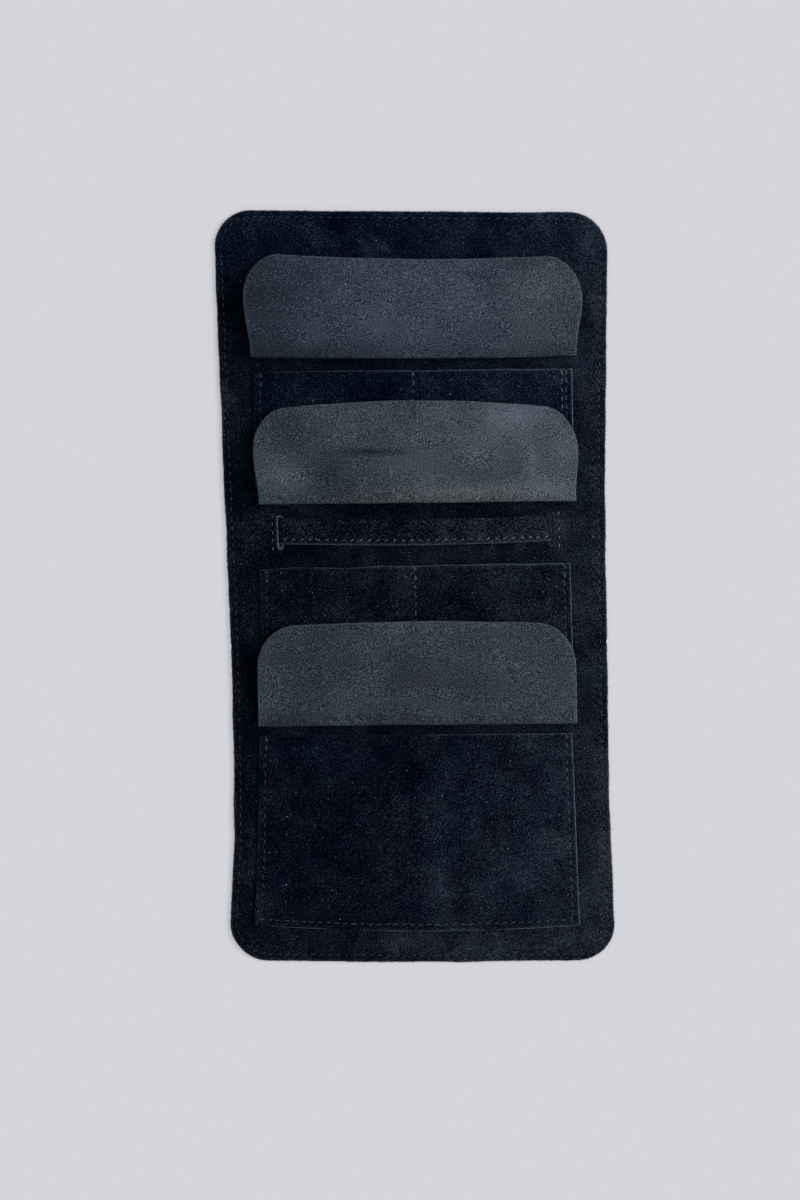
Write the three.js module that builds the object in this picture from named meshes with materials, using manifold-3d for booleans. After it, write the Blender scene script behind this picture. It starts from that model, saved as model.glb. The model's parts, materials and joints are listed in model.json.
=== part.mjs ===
// Jewelry wrap in black suede, lying open and flat on its back.
// Three sections fold over each other. They carry three pockets, a holding strap and three flaps,
// which are shown thrown open, towards the top edge.
// Millimetres, +Z up, +Y towards the top edge, the back on z = 0, the origin under the middle.
import * as THREE from 'three';
import { mergeVertices } from 'three/addons/utils/BufferGeometryUtils.js';
import Module from 'manifold-3d';

const wasm = await Module();
wasm.setup();

// Sections between the two folds, from the top edge down
const topSectionLength = 153.2;
const middleSectionLength = 114.1;
const bottomSectionLength = 118.9;
const foldGap = 0.3;

// Outline: the sides run from the top width to the bottom width and draw in to a waist between them
const topWidth = 202.5;
const bottomWidth = 199;
const waistDrawIn = 7.8;
const waistSkew = 0.65;
const wrapCornerRadius = 19;

// Layers, from the back up. The lining comes down to the outer at the sewn edge
const outerThickness = 1.2;
const paddingThickness = 0.8;
const liningThickness = 1;
const edgeSlope = 6;
const paddingFit = 0.3;

// Pocket fronts, sewn flat along their seams and standing off the lining between them
const pocketThickness = 1;
const pocketGape = 4.4;
const sideSeamBand = 4;
const middleSeamBand = 2;
const pocketRamp = 9;
const upperPocketWidth = 164;
const middlePocketWidth = 160;
const lowerPocketMouthWidth = 160;
const lowerPocketBaseWidth = 166;
const lowerPocketBow = 2.5;
const upperMouthBelowFlap = 7.2;
const middleMouthBelowStrap = 11.2;
const lowerMouthBelowFold = 3;
const pocketAboveFlapRoot = 0.7;
const lowerPocketFromBottom = 17.8;

// Holding strap, with its ends passed through slits and sewn under the lining
const strapWidth = 14.4;
const strapThickness = 1.2;
const strapSpan = 140;
const strapGape = 4.3;
const strapRamp = 22;
const strapTail = 10;
const strapBelowFold = 4.4;
const strapFit = 0.3;
const slitOverrun = 1.5;

// Flaps: a sewn root that slopes up to the fold, and a blade that swings on it
const flapThickness = 1.2;
const flapArch = 0.8;
const flapRootDepth = 9;
const flapSeamBand = 4;
const flapClearance = 0.5;
const hingeGap = 0.3;
const upperFlapFromTop = 75.2;
const middleFlapFromFold = 2.7;
const lowerFlapFromFold = 2.3;
const upperFlap = { rootWidth: 168, width: 176, length: 52, cornerRadius: 19, edgeCrown: 0.4 };
const middleFlap = { rootWidth: 163, width: 168, length: 53.3, cornerRadius: 20, edgeCrown: 3 };
const lowerFlap = { rootWidth: 163, width: 165.5, length: 53.8, cornerRadius: 21, edgeCrown: 1.5 };

// Facets
const sideSteps = 16;
const cornerSteps = 6;
const rampSteps = 4;
const flapColumns = 10;
const flapSteps = 4;
const noseSteps = 4;

// Places along the wrap
const topEdge = (topSectionLength + middleSectionLength + bottomSectionLength) / 2;
const bottomEdge = -topEdge;
const upperFold = topEdge - topSectionLength;
const lowerFold = upperFold - middleSectionLength;
const upperFlapEdge = topEdge - upperFlapFromTop;
const middleFlapEdge = upperFold + middleFlapFromFold;
const lowerFlapEdge = lowerFold + lowerFlapFromFold;
const strapTop = upperFold - strapBelowFold;
const strapBottom = strapTop - strapWidth;

// Heights
const outerTop = outerThickness;
const paddingTop = outerTop + paddingThickness;
const rimTop = outerTop + liningThickness;
const liningTop = paddingTop + liningThickness;
const pocketTop = liningTop + pocketGape + pocketThickness;
const flapHinge = pocketTop + flapClearance + flapThickness / 2;
const upperFlapHinge = flapHinge + flapThickness + flapArch + hingeGap;

const cutOverrun = 1;
const mergeDistance = 1e-4;

function smooth(t) {
  const held = THREE.MathUtils.clamp(t, 0, 1);
  return held * held * (3 - 2 * held);
}

// Solids for cutting, and back
function solidOf(geometry) {
  const bare = new THREE.BufferGeometry();
  bare.setAttribute('position', geometry.getAttribute('position'));
  bare.setIndex(geometry.getIndex());
  const merged = mergeVertices(bare, mergeDistance);
  const vertProperties = new Float32Array(merged.getAttribute('position').array);
  const triVerts = new Uint32Array(merged.getIndex().array);
  return new wasm.Manifold(new wasm.Mesh({ numProp: 3, vertProperties, triVerts }));
}

function geometryOf(solid) {
  const mesh = solid.getMesh();
  const geometry = new THREE.BufferGeometry();
  geometry.setAttribute('position', new THREE.BufferAttribute(new Float32Array(mesh.vertProperties), 3));
  geometry.setIndex(new THREE.BufferAttribute(new Uint32Array(mesh.triVerts), 1));
  geometry.computeVertexNormals();
  return geometry;
}

function block(low, high) {
  const size = new THREE.Vector3().subVectors(high, low);
  const geometry = new THREE.BoxGeometry(size.x, size.y, size.z);
  geometry.translate((low.x + high.x) / 2, (low.y + high.y) / 2, (low.z + high.z) / 2);
  return solidOf(geometry);
}

// A closed body through outlines of equal count, one above the other
function loft(rings) {
  const count = rings[0].points.length;
  const positions = rings.flatMap(({ points, z }) => points.flatMap((point) => [point.x, point.y, z]));
  const faces = [];
  for (let ring = 1; ring < rings.length; ring++) {
    for (let i = 0; i < count; i++) {
      const a = (ring - 1) * count + i;
      const b = (ring - 1) * count + ((i + 1) % count);
      faces.push(a, b, b + count, a, b + count, a + count);
    }
  }
  const top = (rings.length - 1) * count;
  for (const [a, b, c] of THREE.ShapeUtils.triangulateShape(rings[0].points, [])) {
    faces.push(c, b, a);
  }
  for (const [a, b, c] of THREE.ShapeUtils.triangulateShape(rings[rings.length - 1].points, [])) {
    faces.push(top + a, top + b, top + c);
  }
  return bodyFrom(positions, faces);
}

function bodyFrom(positions, faces) {
  const geometry = new THREE.BufferGeometry();
  geometry.setAttribute('position', new THREE.Float32BufferAttribute(positions, 3));
  geometry.setIndex(faces);
  geometry.computeVertexNormals();
  return geometry;
}

// A closed body between an upper and a lower surface. Rows run towards +Y, points in a row towards +X
function sheetBody(rows) {
  const columns = rows[0].length;
  const positions = rows.flatMap((row) => row.flatMap(({ x, y, low, high }) => [x, y, high, x, y, low]));
  const high = (row, column) => 2 * (row * columns + column);
  const low = (row, column) => high(row, column) + 1;
  const faces = [];
  const quad = (a, b, c, d) => faces.push(a, b, c, a, c, d);
  const lastRow = rows.length - 1;
  const lastColumn = columns - 1;
  for (let r = 0; r < lastRow; r++) {
    for (let c = 0; c < lastColumn; c++) {
      quad(high(r, c), high(r, c + 1), high(r + 1, c + 1), high(r + 1, c));
      quad(low(r, c), low(r + 1, c), low(r + 1, c + 1), low(r, c + 1));
    }
    quad(low(r + 1, 0), low(r, 0), high(r, 0), high(r + 1, 0));
    quad(low(r, lastColumn), low(r + 1, lastColumn), high(r + 1, lastColumn), high(r, lastColumn));
  }
  for (let c = 0; c < lastColumn; c++) {
    quad(low(0, c), low(0, c + 1), high(0, c + 1), high(0, c));
    quad(low(lastRow, c + 1), low(lastRow, c), high(lastRow, c), high(lastRow, c + 1));
  }
  return bodyFrom(positions, faces);
}

// Outline of the whole wrap, drawn in by an inset
function sideHalfWidth(y) {
  const share = (y - bottomEdge) / (topEdge - bottomEdge);
  const drawnIn = waistDrawIn * Math.sin(Math.PI * share ** waistSkew);
  return (THREE.MathUtils.lerp(bottomWidth, topWidth, share) - drawnIn) / 2;
}

function wrapOutline(inset) {
  const points = [];
  const cornerY = topEdge - wrapCornerRadius;
  const corner = (sideX, sideY, startAngle) => {
    const centreX = sideX * (sideHalfWidth(sideY * cornerY) - wrapCornerRadius);
    for (let i = 0; i <= cornerSteps; i++) {
      const angle = startAngle + (Math.PI / 2) * (i / cornerSteps);
      const reach = wrapCornerRadius - inset;
      const x = centreX + reach * Math.cos(angle);
      const y = sideY * cornerY + reach * Math.sin(angle);
      points.push(new THREE.Vector2(x, y));
    }
  };
  const side = (sideX) => {
    for (let i = 1; i < sideSteps; i++) {
      const y = sideX * THREE.MathUtils.lerp(-cornerY, cornerY, i / sideSteps);
      points.push(new THREE.Vector2(sideX * (sideHalfWidth(y) - inset), y));
    }
  };
  corner(1, -1, -Math.PI / 2);
  side(1);
  corner(1, 1, 0);
  corner(-1, 1, Math.PI / 2);
  side(-1);
  corner(-1, -1, Math.PI);
  return points;
}

// The three layers, each cut whole
const edgeOutline = wrapOutline(0);
const paddedOutline = wrapOutline(edgeSlope);
const paddingOutline = wrapOutline(edgeSlope + paddingFit);

function outerSheet() {
  return solidOf(loft([{ points: edgeOutline, z: 0 }, { points: edgeOutline, z: outerTop }]));
}

function paddingSheet() {
  const sheet = loft([{ points: paddingOutline, z: outerTop }, { points: paddingOutline, z: paddingTop }]);
  return strapEnds((side) => tailRoom(side)).reduce((solid, room) => solid.subtract(room), solidOf(sheet));
}

function liningSheet() {
  const sheet = loft([
    { points: edgeOutline, z: outerTop },
    { points: edgeOutline, z: rimTop },
    { points: paddedOutline, z: liningTop },
  ]);
  const room = loft([
    { points: paddedOutline, z: outerTop - cutOverrun },
    { points: paddedOutline, z: paddingTop },
  ]);
  const hollow = solidOf(sheet).subtract(solidOf(room));
  return strapEnds((side) => slit(side)).reduce((solid, cut) => solid.subtract(cut), hollow);
}

// Slits in the lining and room in the padding, for the two ends of the strap
function strapEnds(make) {
  return [-1, 1].map(make);
}

function slit(side) {
  const reach = strapThickness / 2 + strapFit;
  const middle = side * (strapSpan / 2);
  const low = new THREE.Vector3(middle - reach, strapBottom - slitOverrun, paddingTop - cutOverrun);
  const high = new THREE.Vector3(middle + reach, strapTop + slitOverrun, liningTop + cutOverrun);
  return block(low, high);
}

function tailRoom(side) {
  const inner = strapSpan / 2 - strapThickness / 2 - strapFit;
  const outer = strapSpan / 2 + strapThickness / 2 + strapTail + strapFit;
  const low = new THREE.Vector3(Math.min(side * inner, side * outer), strapBottom - strapFit, 0);
  const high = new THREE.Vector3(Math.max(side * inner, side * outer), strapTop + strapFit, liningTop);
  return block(low, high);
}

// A layer cut at the folds into its three sections
function sectionOf(sheet, fromY, toY) {
  const reach = topWidth + bottomWidth;
  const low = new THREE.Vector3(-reach, fromY, -cutOverrun);
  const high = new THREE.Vector3(reach, toY, liningTop + cutOverrun);
  return geometryOf(sheet.intersect(block(low, high)));
}

const sections = {
  top: { from: upperFold + foldGap / 2, to: topEdge + cutOverrun },
  middle: { from: lowerFold + foldGap / 2, to: upperFold - foldGap / 2 },
  bottom: { from: bottomEdge - cutOverrun, to: lowerFold - foldGap / 2 },
};

// Pocket fronts
function compartmentStations(low, high, lowBand, highBand) {
  const steps = Array.from({ length: rampSteps + 1 }, (unused, i) => (pocketRamp * i) / rampSteps);
  const rise = steps.map((step) => low + lowBand + step);
  const fall = steps.map((step) => high - highBand - step).reverse();
  return [low, ...rise, ...fall, high];
}

function pocketFront({ mouthWidth, baseWidth, baseBow, mouthY, baseY, divided }) {
  const half = mouthWidth / 2;
  const left = compartmentStations(-half, 0, sideSeamBand, middleSeamBand);
  const right = compartmentStations(0, half, middleSeamBand, sideSeamBand);
  const single = compartmentStations(-half, half, sideSeamBand, sideSeamBand);
  const columns = divided ? [...left, ...right.slice(1)] : single;
  const rise = Array.from({ length: rampSteps + 1 }, (unused, i) => (pocketRamp * i) / rampSteps);
  const rowPlaces = [baseY, ...rise.map((step) => baseY + sideSeamBand + step), mouthY];
  const rows = rowPlaces.map((y) => columns.map((x) => {
    const fromSide = half - Math.abs(x) - sideSeamBand;
    const fromMiddle = divided ? Math.abs(x) - middleSeamBand : half;
    const across = smooth(Math.min(fromSide, fromMiddle) / pocketRamp);
    const along = smooth((y - baseY - sideSeamBand) / pocketRamp);
    const share = (y - baseY) / (mouthY - baseY);
    const width = THREE.MathUtils.lerp(baseWidth, mouthWidth, share);
    const bowed = y - baseBow * (1 - (x / half) ** 2) * (1 - share);
    const low = liningTop + pocketGape * across * along;
    return { x: (x * width) / mouthWidth, y: bowed, low, high: low + pocketThickness };
  }));
  return sheetBody(rows);
}

// Holding strap: its outline seen from the end of the wrap, drawn along the strap's width
function holdingStrap() {
  const inner = strapSpan / 2 - strapThickness / 2;
  const outer = strapSpan / 2 + strapThickness / 2;
  const tailEnd = outer + strapTail;
  const ramp = Array.from({ length: rampSteps * 2 + 1 }, (unused, i) => i / (rampSteps * 2));
  const underside = (t) => liningTop + strapFit + (strapGape - strapFit) * smooth(t);
  const under = ramp.map((t) => [inner - strapRamp * t, underside(t)]);
  const over = ramp.map((t) => [outer - strapRamp * t, underside(t) + strapThickness]);
  const lowerHalf = [[tailEnd, outerTop], [inner, outerTop], ...under];
  const upperHalf = [[tailEnd, paddingTop], [outer, paddingTop], ...over];
  const mirrored = (points) => points.map(([x, z]) => [-x, z]);
  const upperRun = [...upperHalf, ...mirrored(upperHalf).reverse()];
  const lowerRun = [...mirrored(lowerHalf), ...[...lowerHalf].reverse()];
  const profile = new THREE.Shape([...upperRun, ...lowerRun].map(([x, z]) => new THREE.Vector2(x, z)));
  const geometry = new THREE.ExtrudeGeometry(profile, { depth: strapWidth, bevelEnabled: false });
  geometry.rotateX(Math.PI / 2);
  geometry.translate(0, strapTop, 0);
  return geometry;
}

// Flap root: a band sewn flat on the lining, which then slopes up to the flap's edge
function flapRoot(flap, edgeY, hingeZ) {
  const height = hingeZ - flapThickness / 2 - hingeGap - liningTop;
  const run = flapRootDepth - flapSeamBand;
  const across = (flapThickness * Math.hypot(run, height)) / height;
  const foot = run * (1 - flapThickness / height) + across;
  const profile = new THREE.Shape([
    new THREE.Vector2(flapRootDepth, 0),
    new THREE.Vector2(flapRootDepth, flapThickness),
    new THREE.Vector2(foot, flapThickness),
    new THREE.Vector2(across, height),
    new THREE.Vector2(0, height),
    new THREE.Vector2(run, 0),
  ]);
  const geometry = new THREE.ExtrudeGeometry(profile, { depth: flap.rootWidth, bevelEnabled: false });
  const alongX = new THREE.Matrix4().makeBasis(
    new THREE.Vector3(0, 1, 0),
    new THREE.Vector3(0, 0, 1),
    new THREE.Vector3(1, 0, 0),
  );
  geometry.applyMatrix4(alongX);
  geometry.translate(-flap.rootWidth / 2, edgeY, liningTop);
  return geometry;
}

// Flap blade: a tongue with round corners and a bowed free edge, with a round nose on its hinge line
function flapBlade(flap, edgeY, hingeZ) {
  const half = flapThickness / 2;
  const reach = flap.length - half;
  const straight = reach - flap.cornerRadius;
  const quarter = (i, steps) => (Math.PI / 2) * (i / steps);
  const stations = [];
  for (let i = noseSteps - 1; i > 0; i--) {
    const angle = quarter(i, noseSteps);
    stations.push({ along: -half * Math.sin(angle), thick: half * Math.cos(angle), drawnIn: 0 });
  }
  for (let i = 0; i <= flapSteps; i++) {
    stations.push({ along: (straight * i) / flapSteps, thick: half, drawnIn: 0 });
  }
  for (let i = 1; i <= cornerSteps; i++) {
    const angle = quarter(i, cornerSteps);
    const along = straight + flap.cornerRadius * Math.sin(angle);
    stations.push({ along, thick: half, drawnIn: flap.cornerRadius * (1 - Math.cos(angle)) });
  }
  const rows = stations.map(({ along, thick, drawnIn }) => {
    const share = Math.max(along, 0) / reach;
    const sideWidth = THREE.MathUtils.lerp(flap.rootWidth, flap.width, smooth(along / straight));
    const halfWidth = sideWidth / 2 - drawnIn;
    const centre = hingeZ + flapArch * Math.sin(Math.PI * share);
    return Array.from({ length: flapColumns + 1 }, (unused, column) => {
      const across = (2 * column) / flapColumns - 1;
      const y = edgeY + half + along - flap.edgeCrown * (across * share) ** 2;
      return { x: across * halfWidth, y, low: centre - thick, high: centre + thick };
    });
  });
  return sheetBody(rows);
}

// Finishes
function suede(colour) {
  return new THREE.MeshStandardMaterial({ color: colour, roughness: 0.95, metalness: 0 });
}

const blackSuede = 0x12161d;
const flapGrey = 0x3c464f;
const paddingGrey = 0x6a6a68;

function piece(name, geometry, colour) {
  const mesh = new THREE.Mesh(geometry, suede(colour));
  mesh.name = name;
  return mesh;
}

// Assembly
const outer = outerSheet();
const padding = paddingSheet();
const lining = liningSheet();
const wrap = new THREE.Group();

for (const [section, { from, to }] of Object.entries(sections)) {
  wrap.add(piece(`outer_${section}`, sectionOf(outer, from, to), blackSuede));
  wrap.add(piece(`padding_${section}`, sectionOf(padding, from, to), paddingGrey));
  wrap.add(piece(`lining_${section}`, sectionOf(lining, from, to), blackSuede));
}

wrap.add(piece('upper_pocket', pocketFront({
  mouthWidth: upperPocketWidth,
  baseWidth: upperPocketWidth,
  baseBow: 0,
  mouthY: upperFlapEdge - upperMouthBelowFlap,
  baseY: middleFlapEdge + flapRootDepth + pocketAboveFlapRoot,
  divided: true,
}), blackSuede));
wrap.add(piece('middle_pocket', pocketFront({
  mouthWidth: middlePocketWidth,
  baseWidth: middlePocketWidth,
  baseBow: 0,
  mouthY: strapBottom - middleMouthBelowStrap,
  baseY: lowerFlapEdge + flapRootDepth + pocketAboveFlapRoot,
  divided: true,
}), blackSuede));
wrap.add(piece('lower_pocket', pocketFront({
  mouthWidth: lowerPocketMouthWidth,
  baseWidth: lowerPocketBaseWidth,
  baseBow: lowerPocketBow,
  mouthY: lowerFold - lowerMouthBelowFold,
  baseY: bottomEdge + lowerPocketFromBottom,
  divided: false,
}), blackSuede));
wrap.add(piece('holding_strap', holdingStrap(), blackSuede));

const flaps = [
  { name: 'upper_flap', flap: upperFlap, edgeY: upperFlapEdge, hingeZ: upperFlapHinge },
  { name: 'middle_flap', flap: middleFlap, edgeY: middleFlapEdge, hingeZ: flapHinge },
  { name: 'lower_flap', flap: lowerFlap, edgeY: lowerFlapEdge, hingeZ: flapHinge },
];
for (const { name, flap, edgeY, hingeZ } of flaps) {
  wrap.add(piece(`${name}_root`, flapRoot(flap, edgeY, hingeZ), blackSuede));
  wrap.add(piece(name, flapBlade(flap, edgeY, hingeZ), flapGrey));
}

export default wrap;
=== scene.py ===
# Jewelry wrap in black suede, lying open on a pale floor.
# Metres, +Z up, +Y towards the wrap's top edge. Sizes are written in millimetres and multiplied by mm.
import functools
import json
import math

import bpy
import numpy as np
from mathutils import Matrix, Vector, kdtree, noise


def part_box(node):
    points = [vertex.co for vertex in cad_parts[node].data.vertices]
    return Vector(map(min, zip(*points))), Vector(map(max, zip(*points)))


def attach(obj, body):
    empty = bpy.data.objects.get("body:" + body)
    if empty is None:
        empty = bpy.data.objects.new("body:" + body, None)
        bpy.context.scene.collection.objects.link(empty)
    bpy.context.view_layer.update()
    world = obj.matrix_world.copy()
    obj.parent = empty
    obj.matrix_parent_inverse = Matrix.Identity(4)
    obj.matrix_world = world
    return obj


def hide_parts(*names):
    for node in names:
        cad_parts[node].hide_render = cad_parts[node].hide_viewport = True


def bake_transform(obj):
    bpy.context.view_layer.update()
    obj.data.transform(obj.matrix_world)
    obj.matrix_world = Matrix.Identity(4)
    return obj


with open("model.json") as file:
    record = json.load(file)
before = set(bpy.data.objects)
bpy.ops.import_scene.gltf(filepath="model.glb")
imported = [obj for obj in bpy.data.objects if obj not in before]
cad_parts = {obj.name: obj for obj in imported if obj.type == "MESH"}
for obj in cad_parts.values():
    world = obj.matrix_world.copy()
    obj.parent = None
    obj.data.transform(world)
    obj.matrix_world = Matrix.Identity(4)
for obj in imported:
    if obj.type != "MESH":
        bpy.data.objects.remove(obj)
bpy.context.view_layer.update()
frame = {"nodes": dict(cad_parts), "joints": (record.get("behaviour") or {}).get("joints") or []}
mm = 0.001
hinge = {joint["name"]: Vector(joint["pos_m"]) for joint in frame["joints"]}
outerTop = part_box("outer_middle")[1].z
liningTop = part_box("lining_middle")[1].z
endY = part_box("outer_top")[1].y
strapLow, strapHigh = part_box("holding_strap")
print("frame loaded:", len(frame["nodes"]), "nodes, half length", round(endY / mm, 1), "mm")


# Shape helpers

def smooth(t):
    held = np.clip(t, 0, 1)
    return held * held * (3 - 2 * held)


def ridge(distance, width):  # 1 on a line, fading out about two widths away
    return np.exp(-((distance / width) ** 2))


def relief(xy, size, seed):  # soft random hills between -1 and 1; the seed can differ from point to point
    seeds = np.zeros(len(xy)) + seed
    return np.array([noise.noise(Vector((x / size, y / size, s))) for (x, y), s in zip(xy, seeds)])


def stepped(stops, step):  # places from stop to stop, about one step apart
    places = [stops[0]]
    leeway = 0.001  # the share of a step that may be left over
    for low, high in zip(stops, stops[1:]):
        count = max(1, math.ceil(abs(high - low) / step - leeway))
        places.extend(low + (high - low) * (i + 1) / count for i in range(count))
    return np.array(places)


def nearest(values, target):
    return int(np.argmin(np.abs(values - target)))


def gridQuads(rows, columns):
    quads = []
    for r in range(rows - 1):
        for first in range(r * columns, (r + 1) * columns - 1):
            quads.append((first, first + 1, first + columns + 1, first + columns))
    return quads


def addObject(name, data):
    item = bpy.data.objects.new(name, data)
    bpy.context.scene.collection.objects.link(item)
    return item


# How the soft wrap lies: it leans, its lower half drifts to the right,
# its bottom edge bows and one corner flares
lie = {
    "lean": 0.005,
    "topLean": 0.018,
    "bottomLean": 0.012,
    "leanFrom": 60 * mm,
    "leanReach": 130 * mm,
    "drift": 1.1 * mm,
    "driftFrom": 60 * mm,
    "driftReach": 120 * mm,
    "bow": 1.1 * mm,
    "bowFrom": 120 * mm,
    "bowReach": 70 * mm,
    "bowHalf": 100 * mm,
    "flare": 1.4 * mm,
    "flareFrom": 128 * mm,
    "flareReach": 50 * mm,
}


def layDown(points):
    x, y = points[:, 0], points[:, 1]
    outward = smooth((np.abs(y) - lie["leanFrom"]) / lie["leanReach"])
    lean = lie["lean"] + outward * np.where(y > 0, lie["topLean"], lie["bottomLean"])
    bow = lie["bow"] * (1 - (x / lie["bowHalf"]) ** 2) * smooth((-y - lie["bowFrom"]) / lie["bowReach"])
    drift = lie["drift"] * smooth((lie["driftFrom"] - y) / lie["driftReach"])
    flare = lie["flare"] * smooth((-y - lie["flareFrom"]) / lie["flareReach"]) * smooth(-x / lie["bowHalf"])
    laid = points.copy()
    laid[:, 0] = x + drift - flare
    laid[:, 1] = y - lean * x - bow
    return laid


# Closed sheets with rounded cut edges

rimTurns = [math.radians(angle) for angle in (48, 0, -48)]
plainPaint = {"wearAndLight": 1, "wearReach": 0.5 * mm, "toneShift": 0, "cast": 0.6}


def rimLoops(edges, dropped):  # the cut edges in order, without the dropped points
    following = dict(edges)
    left = set(following)
    runs = []
    while left:
        start = min(left)
        for v in sorted(left):
            if v in dropped and following[v] not in dropped:
                start = v
                break
        loop = [start]
        while following[loop[-1]] != start:
            loop.append(following[loop[-1]])
        left -= set(loop)
        closed = not any(v in dropped for v in loop)
        runs.append([v for v in loop if v not in dropped] + ([start] if closed else []))
    return [run for run in runs if len(run) > 2]


def buildSheet(name, top, under, quads, rim, finishes, square=None, **painting):
    paint = {**plainPaint, **painting}
    count = len(top)
    squared = np.zeros(count, bool) if square is None else square
    sides = {(quad[k], quad[(k + 1) % 4]) for quad in quads for k in range(4)}
    edges = sorted((a, b) for a, b in sides if (b, a) not in sides)
    middle = (top + under) / 2
    half = (top - under) / 2
    outward = np.zeros_like(top)
    for a, b in edges:
        away = np.cross(middle[b] - middle[a], half[a])
        away /= np.linalg.norm(away)
        outward[a] += away
        outward[b] += away
    onEdge = np.array(sorted({a for a, b in edges}))
    outward[onEdge] /= np.linalg.norm(outward[onEdge], axis=1)[:, None]
    reach = np.where(squared[onEdge], 0, rim)
    rings = []
    for turn in rimTurns:
        sideways = outward[onEdge] * (reach * math.cos(turn))[:, None]
        rings.append(middle[onEdge] + sideways + half[onEdge] * math.sin(turn))
    place = {int(v): i for i, v in enumerate(onEdge)}

    def wall(v):  # indices from the top face round the cut edge to the under face
        turned = [2 * count + ring * len(onEdge) + place[v] for ring in range(len(rings))]
        return [v, *turned, count + v]

    faces = list(quads)
    faces += [tuple(count + i for i in reversed(quad)) for quad in quads]
    slots = [0] * len(quads) + [1] * len(quads)
    for a, b in edges:
        wallA, wallB = wall(a), wall(b)
        for k in range(len(wallA) - 1):
            faces.append((wallA[k + 1], wallB[k + 1], wallB[k], wallA[k]))
            slots.append(2)
    mesh = bpy.data.meshes.new(name)
    mesh.from_pydata(np.concatenate([top, under, *rings]).tolist(), [], faces)
    mesh.polygons.foreach_set("material_index", slots)
    mesh.polygons.foreach_set("use_smooth", [True] * len(faces))
    sharp = {(a + face, b + face) for a, b in edges if squared[a] and squared[b] for face in (0, count)}
    for edge in mesh.edges:
        a, b = edge.vertices
        edge.use_edge_sharp = (a, b) in sharp or (b, a) in sharp
    for finish in finishes:
        mesh.materials.append(finish)
    tree = kdtree.KDTree(len(onEdge))
    for i, v in enumerate(onEdge):
        if not squared[v]:
            tree.insert(middle[v], i)
    tree.balance()
    fading = [math.exp(-tree.find(point)[2] / paint["wearReach"]) for point in middle]
    wearAndLight = paint["wearAndLight"] * np.array(fading)
    plain = np.zeros(count)
    shift, cast = plain + paint["toneShift"], plain + paint["cast"]
    for label, above, below in (("edgeWearAndLight", wearAndLight, wearAndLight), ("toneShift", shift, plain), ("cast", cast, cast)):
        layer = mesh.attributes.new(label, "FLOAT", "POINT")
        layer.data.foreach_set("value", np.concatenate([above, below, *[above[onEdge]] * len(rings)]))
    mesh.validate()
    piece = addObject(name, mesh)
    dropped = {int(v) for v in onEdge if squared[v]}
    loops = [rings[1][[place[v] for v in loop]] for loop in rimLoops(edges, dropped)]
    return piece, loops


# Node helpers, for the finishes and for Geometry Nodes

def addNode(tree, kind, settings, inputs, result=0):  # gives one output, or the node if result is None
    node = tree.nodes.new(kind)
    for label, value in settings.items():
        setattr(node, label, value)
    for key, value in inputs.items():
        if isinstance(value, bpy.types.NodeSocket):
            tree.links.new(value, node.inputs[key])
        else:
            node.inputs[key].default_value = value
    return node if result is None else node.outputs[result]


def calculate(tree, operation, *values):
    return addNode(tree, "ShaderNodeMath", {"operation": operation}, dict(enumerate(values)))


def combine(tree, operation, *values):  # the same for vectors
    return addNode(tree, "ShaderNodeVectorMath", {"operation": operation}, dict(enumerate(values)))


def weighted(tree, parts, start=0.0):  # sum of outputs, each times its weight
    total = start
    for output, weight in parts:
        total = calculate(tree, "MULTIPLY_ADD", output, weight, total)
    return total


def spread(tree, value, fromLow, fromHigh, toLow, toHigh):
    return addNode(tree, "ShaderNodeMapRange", {}, {
        "Value": value, "From Min": fromLow, "From Max": fromHigh, "To Min": toLow, "To Max": toHigh,
    })


def grain(tree, place, size, detail, roughness, stretch=(1, 1, 1), turn=0, seed=0):
    # a texture mapping turns the pattern and then draws it out along its own axes
    mapped = addNode(tree, "ShaderNodeMapping", {"vector_type": "TEXTURE"}, {
        "Vector": place,
        "Location": (0, 0, seed * mm),
        "Rotation": (0, 0, math.radians(turn)),
        "Scale": stretch,
    })
    return addNode(tree, "ShaderNodeTexNoise", {}, {
        "Vector": mapped, "Scale": 1 / size, "Detail": detail, "Roughness": roughness,
    }, "Fac")


def toned(tree, factor, tones, colours):
    node = addNode(tree, "ShaderNodeValToRGB", {}, {"Fac": factor}, None)
    ramp = node.color_ramp
    while len(ramp.elements) < len(tones):
        ramp.elements.new(1)
    for element, position, colour in zip(ramp.elements, tones, colours):
        element.position = position
        element.color = colour
    return node.outputs["Color"]


def mixed(tree, factor, first, second):
    return addNode(tree, "ShaderNodeMix", {"data_type": "RGBA"}, {0: factor, 6: first, 7: second}, 2)


def raised(tree, height, strength, depth):
    return addNode(tree, "ShaderNodeBump", {}, {"Height": height, "Strength": strength, "Distance": depth})


def painted(tree, label):  # a value kept on the piece's own points
    return addNode(tree, "ShaderNodeAttribute", {"attribute_name": label}, {}, "Fac")


# Finishes: every one reads Object coordinates, and the values painted on its own sheet

def shade(red, green, blue):  # a colour as it shows on screen, 0 to 255
    linear = []
    for value in (red, green, blue):
        share = value / 255
        linear.append(share / 12.92 if share <= 0.04045 else ((share + 0.055) / 1.055) ** 2.4)
    return (*linear, 1)


def startFinish(name):
    finish = bpy.data.materials.new(name)
    finish.use_nodes = True
    tree = finish.node_tree
    return finish, tree, addNode(tree, "ShaderNodeTexCoord", {}, {}, "Object")


def endFinish(finish, look, colour, roughBy, height=None):
    tree = finish.node_tree
    shader = tree.nodes["Principled BSDF"]
    tree.links.new(colour, shader.inputs["Base Color"])
    tree.links.new(spread(tree, roughBy, *look["roughness"]), shader.inputs["Roughness"])
    if height:
        tree.links.new(raised(tree, height, *look["bump"]), shader.inputs["Normal"])
    shader.inputs["Specular IOR Level"].default_value = look["specular"]
    return finish


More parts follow.
